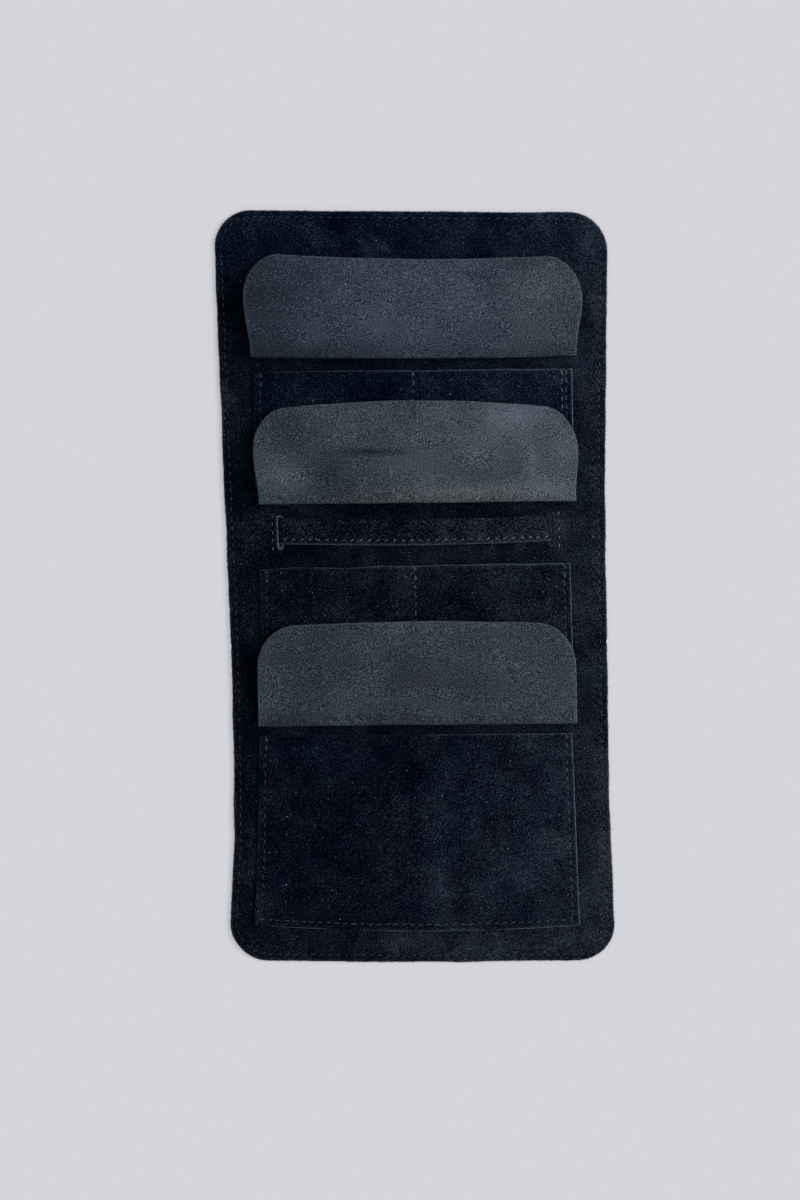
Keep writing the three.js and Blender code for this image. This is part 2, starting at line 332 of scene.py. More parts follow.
def grainLayers(tree, place, look, seed):  # the fine layers are the same in every finish
    layers = {}
    for label, form in look["layers"].items():
        layers[label] = grain(tree, place, *form, seed=0 if label in look["fine"] else seed)
    return layers


def layeredTone(tree, layers, look, contrast=1):  # the contrast leaves the middle tone where it is
    parts = [(layers[label], contrast * weight) for label, weight in look["weights"].items()]
    middle = (1 - contrast) * sum(look["weights"].values()) / 2
    return weighted(tree, [*parts, (painted(tree, "toneShift"), 1)], middle)


def layeredHeight(tree, layers, look):
    return weighted(tree, [(layers[label], share) for label, share in look["heights"].items()])


def hued(tree, between, tone, look):  # from the look's first row of colours to its second
    return mixed(tree, between, *(toned(tree, tone, look["tones"], row) for row in look["hues"]))


def wornAndLitEdge(tree, colour, layer, look, share):  # paler along the cut edges, in tatters: wear, and on the pockets' edges and the slits' lips also painted light and shade
    tatters = spread(tree, layer, *look["tatters"], share)
    return mixed(tree, calculate(tree, "MULTIPLY", painted(tree, "edgeWearAndLight"), tatters), colour, look["edge"])


def lint(tree, place, cell, size, share):  # sparse pale specks caught in the nap
    plane = {"voronoi_dimensions": "2D"}
    cells = addNode(tree, "ShaderNodeTexVoronoi", plane, {"Vector": place, "Scale": 1 / cell}, None).outputs
    split = addNode(tree, "ShaderNodeSeparateColor", {}, {"Color": cells["Color"]}, None).outputs
    chosen = calculate(tree, "LESS_THAN", split["Red"], share)
    reach = calculate(tree, "MULTIPLY", split["Green"], size / cell)
    near = calculate(tree, "LESS_THAN", cells["Distance"], reach)
    bright = calculate(tree, "MULTIPLY", split["Blue"], near)
    return calculate(tree, "MULTIPLY", bright, chosen)


# In the looks a grain is size, detail and roughness, then its stretch and turn if it has any.
# A roughness is the range of what drives it and the range that it gives; a bump is strength and depth.
suedeLook = {
    # the black has a petrol cast in some places and a slate one in others, from smoothed down to brushed up
    "hues": (
        (shade(0, 1, 14), shade(1, 9, 24), shade(8, 19, 33), shade(21, 32, 45), shade(48, 58, 70)),
        (shade(0, 1, 10), shade(5, 9, 19), shade(14, 20, 29), shade(26, 33, 43), shade(51, 58, 68)),
    ),
    "tones": (0.487, 0.525, 0.565, 0.611, 0.69),
    "cast": (32 * mm, 2, 0.5),
    "castSeed": 500,
    "castSpread": (0.3, 0.7, -0.25, 0.25),
    "layers": {
        "patch": (26 * mm, 3, 0.5),
        "mottle": (9 * mm, 2, 0.5),
        "stroke": (9 * mm, 2, 0.5, (1, 2.4, 1), 22),
        "nap": (0.8 * mm, 1, 0.5, (1, 1.3, 1), 22),
        "fibre": (0.5 * mm, 1, 0.6, (1, 1.25, 1), 22),
    },
    "fine": ("nap", "fibre"),
    "weights": {"patch": 0.17, "mottle": 0.095, "stroke": 0.065, "nap": 0.21, "fibre": 0.54},
    "heights": {"mottle": 0.3, "nap": 0.35, "fibre": 0.35},
    "bump": (0.6, 0.5 * mm),
    "roughness": (0.4, 0.7, 0.98, 0.86),
    "specular": 0.02,
    "sheen": {"Sheen Weight": 0.012, "Sheen Roughness": 0.45, "Sheen Tint": shade(100, 126, 172)},
    "edge": shade(86, 105, 120),
    "tatters": (0.38, 0.58, 0.1),
    "lint": shade(140, 146, 150),
    "lintSizes": ((9 * mm, 0.3 * mm), (3.4 * mm, 0.18 * mm)),
    # how much lighter the suede is painted towards the right: a painted sheen
    "toRight": 0.027,
}


def makeSuede(name, seed, edgeShare, lintShare, contrast=1):
    finish, tree, place = startFinish(name)
    layers = grainLayers(tree, place, suedeLook, seed)
    tone = layeredTone(tree, layers, suedeLook, contrast)
    cast = grain(tree, place, *suedeLook["cast"], seed=seed + suedeLook["castSeed"])
    between = calculate(tree, "ADD", painted(tree, "cast"), spread(tree, cast, *suedeLook["castSpread"]))
    colour = wornAndLitEdge(tree, hued(tree, between, tone, suedeLook), layers["nap"], suedeLook, edgeShare)
    specks = [lint(tree, place, *sizes, lintShare) for sizes in suedeLook["lintSizes"]]
    colour = mixed(tree, calculate(tree, "MAXIMUM", *specks), colour, suedeLook["lint"])
    for label, value in suedeLook["sheen"].items():
        tree.nodes["Principled BSDF"].inputs[label].default_value = value
    return endFinish(finish, suedeLook, colour, tone, layeredHeight(tree, layers, suedeLook))


flapLook = {
    # from the deepest of the grain to the most worn, where the slate is cool and where it is warmer
    "hues": (
        (shade(18, 27, 38), shade(47, 59, 72), shade(95, 108, 120)),
        (shade(22, 26, 30), shade(54, 59, 63), shade(104, 108, 111)),
    ),
    "tones": (0.416, 0.513, 0.636),
    "layers": {
        "cloud": (34 * mm, 2, 0.5),
        "blotch": (11 * mm, 1, 0.5),
        "coarse": (0.7 * mm, 1, 0.5, (1, 1.3, 1), 42),
        "pore": (0.43 * mm, 1, 0.6, (1, 1.2, 1), 42),
    },
    "fine": ("coarse", "pore"),
    "weights": {"cloud": 0.13, "blotch": 0.03, "coarse": 0.04, "pore": 0.775},
    "heights": {"coarse": 0.3, "pore": 0.7},
    "bump": (0.75, 0.7 * mm),
    "roughness": (0.35, 0.65, 0.92, 0.8),
    "specular": 0.1,
    "edge": shade(80, 90, 99),
    "edgeShare": 0.35,
    "tatters": (0.4, 0.6, 0),
}


def makeFlapGrain(name, seed):  # the slate grey, finely grained side of the flaps
    finish, tree, place = startFinish(name)
    layers = grainLayers(tree, place, flapLook, seed)
    tone = layeredTone(tree, layers, flapLook)
    colour = hued(tree, painted(tree, "cast"), tone, flapLook)
    colour = wornAndLitEdge(tree, colour, layers["coarse"], flapLook, flapLook["edgeShare"])
    return endFinish(finish, flapLook, colour, layers["coarse"], layeredHeight(tree, layers, flapLook))


cutLook = {
    "dark": shade(9, 13, 20),
    "pale": shade(106, 124, 139),
    "tones": (0.36, 0.66),
    "fibre": (0.5 * mm, 3, 0.7),
    "tear": (2.5 * mm, 3, 0.6),
    "weights": (0.55, 0.45),
    "bump": (0.7, 0.3 * mm),
    "roughness": (0.3, 0.7, 0.98, 0.85),
    "specular": 0.15,
}


def makeCutEdge(name):  # the raw edge, where the fibres of the leather show
    finish, tree, place = startFinish(name)
    fibre, tear = (grain(tree, place, *cutLook[label]) for label in ("fibre", "tear"))
    tone = weighted(tree, zip((fibre, tear), cutLook["weights"]))
    colour = toned(tree, tone, cutLook["tones"], (cutLook["dark"], cutLook["pale"]))
    # dark where edgeWearAndLight is low: wear, and on the pockets' left edges and the right slit's lips
    # painted shade
    colour = mixed(tree, painted(tree, "edgeWearAndLight"), cutLook["dark"], colour)
    return endFinish(finish, cutLook, colour, fibre, fibre)


threadLook = {
    "dark": shade(12, 16, 22),
    # lit colours of the one black thread: faint on the edge seams is painted shade, raised on the middle and
    # strap seams a painted highlight
    "faint": shade(58, 69, 84),
    "lit": shade(65, 78, 93),
    "raised": shade(126, 137, 150),
    "ply": (0.6 * mm, 2, 0.6, (1, 1, 2), 40),
    "plySpread": (0.35, 0.65, 0, 1),
    "reach": 100 * mm,
    "bump": (0.5, 0.15 * mm),
    "roughness": (0.3, 0.7, 0.7, 0.5),
    "specular": 0.35,
}


def makeThread(name, lit, leftShare):  # the thread is painted paler towards the right, a painted sheen
    finish, tree, place = startFinish(name)
    ply = grain(tree, place, *threadLook["ply"])
    across = addNode(tree, "ShaderNodeSeparateXYZ", {}, {"Vector": place}, "X")
    paler = spread(tree, across, -threadLook["reach"], threadLook["reach"], leftShare, 1)
    tone = calculate(tree, "MULTIPLY", spread(tree, ply, *threadLook["plySpread"]), paler)
    return endFinish(finish, threadLook, mixed(tree, tone, threadLook["dark"], lit), ply, ply)


feltLook = {
    "colours": (shade(26, 31, 39), shade(52, 58, 67)),
    "tones": (0.3, 0.7),
    "fibre": (1.1 * mm, 5, 0.7, (1, 0.4, 1), 60),
    "bump": (0.6, 0.3 * mm),
    "roughness": (0.3, 0.7, 1, 0.9),
    "specular": 0.5,
}


def makeFelt(name):
    finish, tree, place = startFinish(name)
    fibre = grain(tree, place, *feltLook["fibre"])
    colour = toned(tree, fibre, feltLook["tones"], feltLook["colours"])
    return endFinish(finish, feltLook, colour, fibre, fibre)


napLook = {
    "black": shade(14, 19, 28),
    "grey": shade(60, 69, 78),
    "holeShade": shade(3, 4, 8),
    "darker": 0.35,
    "tones": (0.35, 0.65),
    "patch": (3 * mm, 2, 0.6),
    "roughness": (0.3, 0.7, 1, 0.9),
    "specular": 0.05,
}


def makeNapFibre(name, colour):  # loose fibres along the cut edges, and the painted shade in the needle holes
    finish, tree, place = startFinish(name)
    patchy = grain(tree, place, *napLook["patch"])
    darker = (*(napLook["darker"] * part for part in colour[:3]), 1)
    return endFinish(finish, napLook, toned(tree, patchy, napLook["tones"], (darker, colour)), patchy)


liningSuede = makeSuede("liningSuede", seed=0, edgeShare=0.8, lintShare=0.2)
outerSuede = makeSuede("outerSuede", seed=50, edgeShare=0.3, lintShare=0.12)
pocketSuede = makeSuede("pocketSuede", seed=110, edgeShare=0.24, lintShare=0.42)
strapSuede = makeSuede("strapSuede", seed=160, edgeShare=0.22, lintShare=0.6, contrast=1.5)
flapSuede = makeSuede("flapSuede", seed=220, edgeShare=0.3, lintShare=0.12)
flapGrain = makeFlapGrain("flapGrain", seed=15)
cutEdge = makeCutEdge("cutEdge")
# one black thread in three copies, painted dimmer or brighter as the light falls on it: painted shade and
# highlight
shadedThread = makeThread("shadedThread", threadLook["faint"], leftShare=0.2)
blackThread = makeThread("blackThread", threadLook["lit"], leftShare=0.36)
highlitThread = makeThread("highlitThread", threadLook["raised"], leftShare=0.45)
blackNap = makeNapFibre("blackNap", napLook["black"])
greyNap = makeNapFibre("greyNap", napLook["grey"])
needleHole = makeNapFibre("needleHole", napLook["holeShade"])
felt = makeFelt("paddingFelt")
print("finishes made:", len(bpy.data.materials))


# Outer, padding and lining: one outline, an upper and a lower half that meet under the middle pocket

wrapCut = {
    "topWidth": 203.2 * mm,
    "bottomWidth": 199.9 * mm,
    "waistDrawIn": 7.8 * mm,
    "waistSkew": 0.65,
    "cornerRadius": 19 * mm,
    "cornerRows": 12,
    "joinY": -30 * mm,
    "onLine": 1e-7,  # nearer than this counts as on the line
    "rowStep": 1.6 * mm,
    "bendStep": 0.36 * mm,
    "columnStep": 2.2 * mm,
    "insets": [8 * mm, 6.6 * mm, 5.4 * mm, 4.4 * mm, 3.7 * mm, 3 * mm, 2.3 * mm, 1.5 * mm, 0.7 * mm, 0],
    "seamInset": 3 * mm,
    "ragged": 0.2 * mm,
    "raggedSize": 2.4 * mm,
    "wavy": 0.5 * mm,
    "wavySize": 20 * mm,
    "rim": 0.3 * mm,
}
slit = {
    "x": 70 * mm,
    "width": 2.4 * mm,
    "overrun": 1 * mm,
    "lip": 0.45 * mm,
    "lipReach": 1.4 * mm,
    "narrowEnds": 0.6,
    "slack": 0.2 * mm,
    # share of the lips' paleness that the right slit keeps; the rest is painted shade
    "rightLipShade": 0.25,
    "beyond": [0, 0.4 * mm, 1.2 * mm],
    "clear": 1.2 * mm,
}
# the rows lie closer in two bands: from just past the slit to under the middle flap, and from under the
# lower flap to the lower pocket
bendRoom = {"slit": 0.4 * mm, "middleFlap": 3.9 * mm, "lowerFlap": 4.1 * mm, "pocket": 0.2 * mm}
slitLow = strapLow.y - slit["overrun"]
slitHigh = strapHigh.y + slit["overrun"]
upperBend = (slitHigh + bendRoom["slit"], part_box("middle_flap_root")[0].y + bendRoom["middleFlap"])
lowerBend = (
    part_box("lower_flap_root")[0].y + bendRoom["lowerFlap"],
    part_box("lower_pocket")[1].y + bendRoom["pocket"],
)


def halfWidth(y):
    share = np.clip((y + endY) / (2 * endY), 0, 1)
    drawnIn = wrapCut["waistDrawIn"] * np.sin(np.pi * share ** wrapCut["waistSkew"])
    straight = wrapCut["bottomWidth"] + (wrapCut["topWidth"] - wrapCut["bottomWidth"]) * share
    return (straight - drawnIn) / 2


def wrapColumns():  # across the wrap from -1 to 1, with a column on each side of the two slits
    half = halfWidth(strapLow.y) - wrapCut["insets"][0]
    offsets = [edge * (slit["width"] / 2 + beyond) for edge in (-1, 1) for beyond in slit["beyond"]]
    slitSides = np.array([side * (slit["x"] + offset) for side in (-1, 1) for offset in offsets])
    even = stepped([-half, 0, half], wrapCut["columnStep"])
    kept = [x for x in even if np.abs(slitSides - x).min() > slit["clear"]]
    return np.sort(np.concatenate([kept, slitSides])) / half


def wrapGrid(end, rows, columns, insets):  # places, distances from the edge, quads, points on each inset
    radius = wrapCut["cornerRadius"]
    cornerY = endY - radius
    cornerHalf = float(halfWidth(end * cornerY))
    turns = np.radians(np.linspace(0, 90, wrapCut["cornerRows"] + 1))[1:]
    rowCount = len(rows) + len(turns)

    def edgePoint(row, inset):
        if row < len(rows):
            return float(halfWidth(end * rows[row])) - inset, rows[row]
        turn = turns[row - len(rows)]
        reach = radius - inset
        return cornerHalf - radius + reach * math.cos(turn), cornerY + reach * math.sin(turn)

    points = []
    for row in range(rowCount):
        half, along = edgePoint(row, insets[0])
        points.extend((u * half, end * along, insets[0]) for u in columns)
    quads = gridQuads(rowCount, len(columns))
    last = len(columns) - 1
    chain = [(row, 0) for row in range(rowCount)]
    chain += [(rowCount - 1, column) for column in range(1, last)]
    chain += [(row, last) for row in reversed(range(rowCount))]
    inner = [row * len(columns) + column for row, column in chain]
    rings = {}
    for inset in insets[1:]:
        ring = []
        for row, column in chain:
            half, along = edgePoint(row, inset)
            if inset == 0:
                spot = Vector((columns[column] * half, end * along, 0))
                cutIn = wrapCut["ragged"] * noise.noise(spot / wrapCut["raggedSize"])
                cutIn += wrapCut["wavy"] * noise.noise(spot / wrapCut["wavySize"])
                half, along = edgePoint(row, cutIn)
            ring.append(len(points))
            points.append((columns[column] * half, end * along, inset))
        for k in range(len(chain) - 1):
            quads.append((inner[k], inner[k + 1], ring[k + 1], ring[k]))
        inner = ring
        rings[inset] = ring
    if end < 0:
        quads = [tuple(reversed(quad)) for quad in quads]
    points = np.array(points)
    return points[:, :2], points[:, 2], quads, rings


def cutOut(grid, holes):  # drops the quads whose middle lies in a hole, and the points that none uses then
    xy, inset, quads, rings = grid
    quads = np.array(quads)
    centres = xy[quads].mean(axis=1)
    inside = np.zeros(len(quads), bool)
    for (lowX, highX), (lowY, highY) in holes:
        across = (centres[:, 0] > lowX) & (centres[:, 0] < highX)
        inside |= across & (centres[:, 1] > lowY) & (centres[:, 1] < highY)
    used = np.unique(quads[~inside])
    renamed = np.full(len(xy), -1)
    renamed[used] = np.arange(len(used))
    kept = [tuple(quad) for quad in renamed[quads[~inside]].tolist()]
    return xy[used], inset[used], kept, {key: renamed[ring].tolist() for key, ring in rings.items()}


def rowsOf(*runs):  # rows from run to run, each run with its own step
    parts = [stepped(stops, step) for stops, step in runs]
    return np.concatenate([parts[0], *(part[1:] for part in parts[1:])])


cornerStart = endY - wrapCut["cornerRadius"]
halves = {
    "Upper": {
        "end": 1,
        "rows": np.concatenate([
            stepped([wrapCut["joinY"], slitLow, slitHigh], wrapCut["rowStep"]),
            rowsOf((upperBend, wrapCut["bendStep"]), ([upperBend[1], cornerStart], wrapCut["rowStep"])),
        ]),
        "bodies": ("middle", "top"),
        "bend": upperBend,
        "sections": ("top", "middle"),
    },
    "Lower": {
        "end": -1,
        "rows": rowsOf(
            ([-wrapCut["joinY"], -lowerBend[0]], wrapCut["rowStep"]),
            ([-lowerBend[0], -lowerBend[1]], wrapCut["bendStep"]),
            ([-lowerBend[1], cornerStart], wrapCut["rowStep"]),
        ),
        "bodies": ("middle", "bottom"),
        "bend": lowerBend,
        "sections": ("bottom",),
    },
}


def bendAtFold(piece):
    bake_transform(piece)


def wrapSheet(kind, label, half, faces, quads, finishes, slot, rim=wrapCut["rim"], **painting):
    top, under = (layDown(np.column_stack(face)) for face in faces)
    square = np.abs(faces[0][0][:, 1] - wrapCut["joinY"]) < wrapCut["onLine"]
    piece, loops = buildSheet(kind + label, top, under, quads, rim, finishes, square, **painting)
    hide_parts(*(kind + "_" + section for section in half["sections"]))
    bendAtFold(piece)
    return piece, loops, top, under


lining = {
    "thickness": 0.97 * mm,
    "rimTop": outerTop + 1 * mm,
    "slopeFrom": 3.4 * mm,
    "slope": 4.6 * mm,
    "dip": 0.32 * mm,
    "dipWidth": 0.85 * mm,
    "swell": 0.22 * mm,
    "swellSize": 48 * mm,
    "swellSeed": 3.7,
    "curl": 0.14 * mm,
    "curlSize": 16 * mm,
    "curlSeed": 8.2,
    "rimWear": 0.2,
    "wearReach": 0.3 * mm,
    # where the nap is brushed lighter or darker, with a few painted shadows: across, along, reach across,
    # reach along, change, turn
    "marks": [
        (94, -50, 7, 110, 0.008), (96, -126, 9, 24, 0.06), (96, -166, 9, 18, 0.018), (94, 172, 9, 26, 0.045),
        (94, 96, 8, 20, -0.016), (-52, 183, 13, 5, 0.055, -22), (-24, 176, 1.8, 6, 0.075, 28),
        (-14, 175, 1.8, 6, 0.075, 40), (-12, 180, 18, 9, -0.032), (40, 183, 50, 12, 0.01),
        # (-97, 134) darkens the margin left of the upper flap: a painted shadow of the flap
        (-86, 172, 10, 12, 0.018), (40, 16, 10, 5, 0.012), (-97, 96, 8, 14, 0.067), (-97, 134, 7, 16, -0.02),
        (-92, -48, 8, 24, -0.022), (-90, -125, 8, 22, 0.01), (-92, -152, 7, 14, -0.01),
        # (0, 39) darkens the strip between the middle flap's fold and the strap: a painted shadow
        (74, 28, 3, 9, 0.045), (60, 10, 12, 4, 0.015), (0, 39, 78, 3.6, -0.025), (-84, 27, 8, 9, 0.022),
        (-60, 17, 16, 4, -0.033), (-22, 16, 26, 4, -0.03), (8, 15, 12, 4, 0.008),
        (39, 18.4, 1.4, 4, 0.065, -28), (53.7, 19.7, 1.4, 3.5, 0.055, 35), (10, -185, 50, 10, 0.048),
        (72, -185, 18, 10, 0.05), (26, -185, 12, 8, -0.018),
    ],
    "slate": 0.95,
    "petrolMarks": [
        # the petrol marks at 114, 39 and -75 lie on the strips under the three flap folds, where the bluer
        # cast is painted shade
        (-10, 182, 110, 36, -1.4), (0, 114, 86, 7, -1), (0, 39, 80, 5, -0.6), (0, -75, 84, 5, -0.5),
    ],
}
rightwardHalf = 100 * mm  # about half the width of the wrap


def napAndLightMarks(xy, marks, toRight=0):  # marks of brushed nap and of painted light and shade; also lighter towards the right, a painted sheen
    change = toRight * xy[:, 0] / rightwardHalf
    for x, y, reachX, reachY, amount, *turn in marks:
        angle = math.radians(*turn or [0])
        across, along = xy[:, 0] / mm - x, xy[:, 1] / mm - y
        offX = (across * math.cos(angle) + along * math.sin(angle)) / reachX
        offY = (along * math.cos(angle) - across * math.sin(angle)) / reachY
        change += amount * np.exp(-offX ** 2 - offY ** 2)
    return change


def liningHeight(xy):  # the lining's upper face inside its sewn edge
    return liningTop + lining["swell"] * relief(xy, lining["swellSize"], lining["swellSeed"])


def slitLips(xy):
    beyond = np.maximum(np.abs(np.abs(xy[:, 0]) - slit["x"]) - slit["width"] / 2, 0)
    middle = (slitLow + slitHigh) / 2
    inside = (slitHigh - slitLow) / 2 + slit["lipReach"] - np.abs(xy[:, 1] - middle)
    return slit["lip"] * ridge(beyond, slit["lipReach"]) * smooth(inside / slit["lipReach"])


def narrowSlits(xy):  # draws the ends of the slits together
    off = np.abs(xy[:, 0]) - slit["x"]
    atEnd = np.minimum(np.abs(xy[:, 1] - slitLow), np.abs(xy[:, 1] - slitHigh)) < wrapCut["onLine"]
    atSlit = np.abs(off) < slit["width"] / 2 + slit["slack"]
    xy[:, 0] -= np.sign(xy[:, 0]) * np.where(atEnd & atSlit, slit["narrowEnds"] * off, 0)


def makeLining(label, half, columns):
    grid = wrapGrid(half["end"], half["rows"], columns, wrapCut["insets"])
    if half["end"] > 0:
        holes = []
        for side in (-1, 1):
            sides = sorted(side * (slit["x"] + edge * slit["width"] / 2) for edge in (-1, 1))
            holes.append((sides, (slitLow, slitHigh)))
        grid = cutOut(grid, holes)
        narrowSlits(grid[0])
    xy, inset, quads, rings = grid
    padded = smooth((inset - lining["slopeFrom"]) / lining["slope"])
    z = lining["rimTop"] + (liningHeight(xy) - lining["rimTop"]) * padded
    z -= lining["dip"] * ridge(inset - wrapCut["seamInset"], lining["dipWidth"])
    curled = relief(xy, lining["curlSize"], lining["curlSeed"])
    z += lining["curl"] * curled * (1 - smooth(inset / wrapCut["seamInset"]))
    z += slitLips(xy)
    faces = ((xy, z), (xy, z - lining["thickness"]))
    finishes = (liningSuede, felt, cutEdge)
    # the slit lips are painted paler: wear, and on the left slit a painted highlight; the right slit's lips
    # are kept darker, a painted shade
    lipWearAndShade = np.where(xy[:, 0] > 0, slit["rightLipShade"], 1) - lining["rimWear"]
    painting = {
        "wearAndLight": lining["rimWear"] + lipWearAndShade * np.clip(slitLips(xy) / slit["lip"], 0, 1),
        "wearReach": lining["wearReach"],
        "toneShift": napAndLightMarks(xy, lining["marks"], suedeLook["toRight"]),
        "cast": lining["slate"] + napAndLightMarks(xy, lining["petrolMarks"]),
    }
    made = wrapSheet("lining", label, half, faces, quads, finishes, "lining_suede", **painting)
    piece, loops, top, under = made
    return piece, top[rings[wrapCut["seamInset"]]], loops


outer = {
    "thickness": 1.16 * mm,
    "topDip": 0.3 * mm,
    "backDip": 0.34 * mm,
    "dipWidth": 0.85 * mm,
    "edgeLift": 0.2 * mm,
    "edgeReach": 1.1 * mm,
}


def makeOuter(label, half, columns):
    xy, inset, quads, rings = wrapGrid(half["end"], half["rows"], columns, wrapCut["insets"])
    seam = ridge(inset - wrapCut["seamInset"], outer["dipWidth"])
    back = outer["backDip"] * seam + outer["edgeLift"] * ridge(inset, outer["edgeReach"])
    front = np.maximum(outer["thickness"] - outer["topDip"] * seam, back + outer["topDip"])
    faces = ((xy, front), (xy, back))
    finishes = (felt, outerSuede, cutEdge)
    piece, loops, top, under = wrapSheet("outer", label, half, faces, quads, finishes, "outer_suede")
    return piece, under[rings[wrapCut["seamInset"]]], loops


padding = {
    "inset": 6.4 * mm,
    "border": 9 * mm,
    "thickness": 0.68 * mm,
    "lift": 0.06 * mm,
    "tailRoom": 82 * mm,
}


def makePadding(label, half, columns):
    inner = slit["x"] - slit["width"] / 2
    room = (strapLow.y - padding["lift"], strapHigh.y + padding["lift"])
    holes = [((inner, padding["tailRoom"]), room), ((-padding["tailRoom"], -inner), room)]
    grid = wrapGrid(half["end"], half["rows"], columns, [padding["border"], padding["inset"]])
    xy, quads = cutOut(grid, holes)[::2]
    back = np.full(len(xy), outerTop + padding["lift"])
    faces = ((xy, back + padding["thickness"]), (xy, back))
    return wrapSheet("padding", label, half, faces, quads, (felt, felt, felt), "padding_felt", rim=0)[0]


# Repeats along a path: stitches on the seams and loose fibres on the cut edges

stitch = {
    "Pitch": 4.3 * mm,
    "Stitch Length": 3 * mm,
    "Thread Radius": 0.25 * mm,
    "Rise": 0.45 * mm,
    "Sink": 0.3 * mm,
    "Slant": 0.2,
    "Hole Radius": 0.36 * mm,
    "Up": (0, 0, 1),
    "Wander": 0.14,
    "Seed": 11,
}
stitchForm = {
    "sides": 6,
    "archSteps": 7,
    "fullness": (0.6, 0.4),
    "stray": ((-1, -1, 0), (1, 1, 0)),
    "sizes": (0.88, 1.1),
    "holeDepth": 0.3,
}
fuzz = {
    "Pitch": 0.32 * mm,
    "Fibre Length": 0.85 * mm,
    "Fibre Radius": 0.06 * mm,
    "Up": (0, 0, 1),
    "Spread": 0.9,
    "Seed": 71,
}
fuzzForm = {"sides": 3, "stray": ((-1, -1, -0.4), (1, 1, 0.7)), "sizes": (0.3, 1.2)}
socketKinds = {"Up": "Vector", "Seed": "Int"}  # the other values are plain numbers


def startTree(name, values, finishes):
    tree = bpy.data.node_groups.new(name, "GeometryNodeTree")
    kinds = {"Path": "Geometry", **{label: socketKinds.get(label, "Float") for label in values}}
    kinds.update({label: "Material" for label in finishes})
    for label, kind in kinds.items():
        tree.interface.new_socket(label, in_out="INPUT", socket_type="NodeSocket" + kind)
    tree.interface.new_socket("Result", in_out="OUTPUT", socket_type="NodeSocketGeometry")
    return tree, tree.nodes.new("NodeGroupInput").outputs, functools.partial(addNode, tree)


def placesAlong(given, put):
    curve = put("GeometryNodeMeshToCurve", {}, {"Mesh": given["Path"]})
    return put("GeometryNodeResampleCurve", {"mode": "LENGTH"}, {"Curve": curve, "Length": given["Pitch"]})


def strayAndSize(given, put, form):  # each copy aims a little off and has its own size
    low, high = form["stray"]
    small, large = form["sizes"]
    kind, seed = "FunctionNodeRandomValue", given["Seed"]
    stray = put(kind, {"data_type": "FLOAT_VECTOR"}, {0: low, 1: high, "Seed": seed})
    return stray, put(kind, {"data_type": "FLOAT"}, {2: small, 3: large, "Seed": seed}, 1)


def finishTree(given, put, copies, inHole=None):
    real = put("GeometryNodeRealizeInstances", {}, {"Geometry": copies})
    soft = put("GeometryNodeSetShadeSmooth", {}, {"Geometry": real})
    paint = put("GeometryNodeSetMaterial", {}, {"Geometry": soft, "Material": given["Finish"]})
    if inHole:
        paint = put("GeometryNodeSetMaterial", {}, {
            "Geometry": paint, "Selection": inHole, "Material": given["Hole Finish"],
        })
    put("NodeGroupOutput", {}, {"Result": paint}, None)


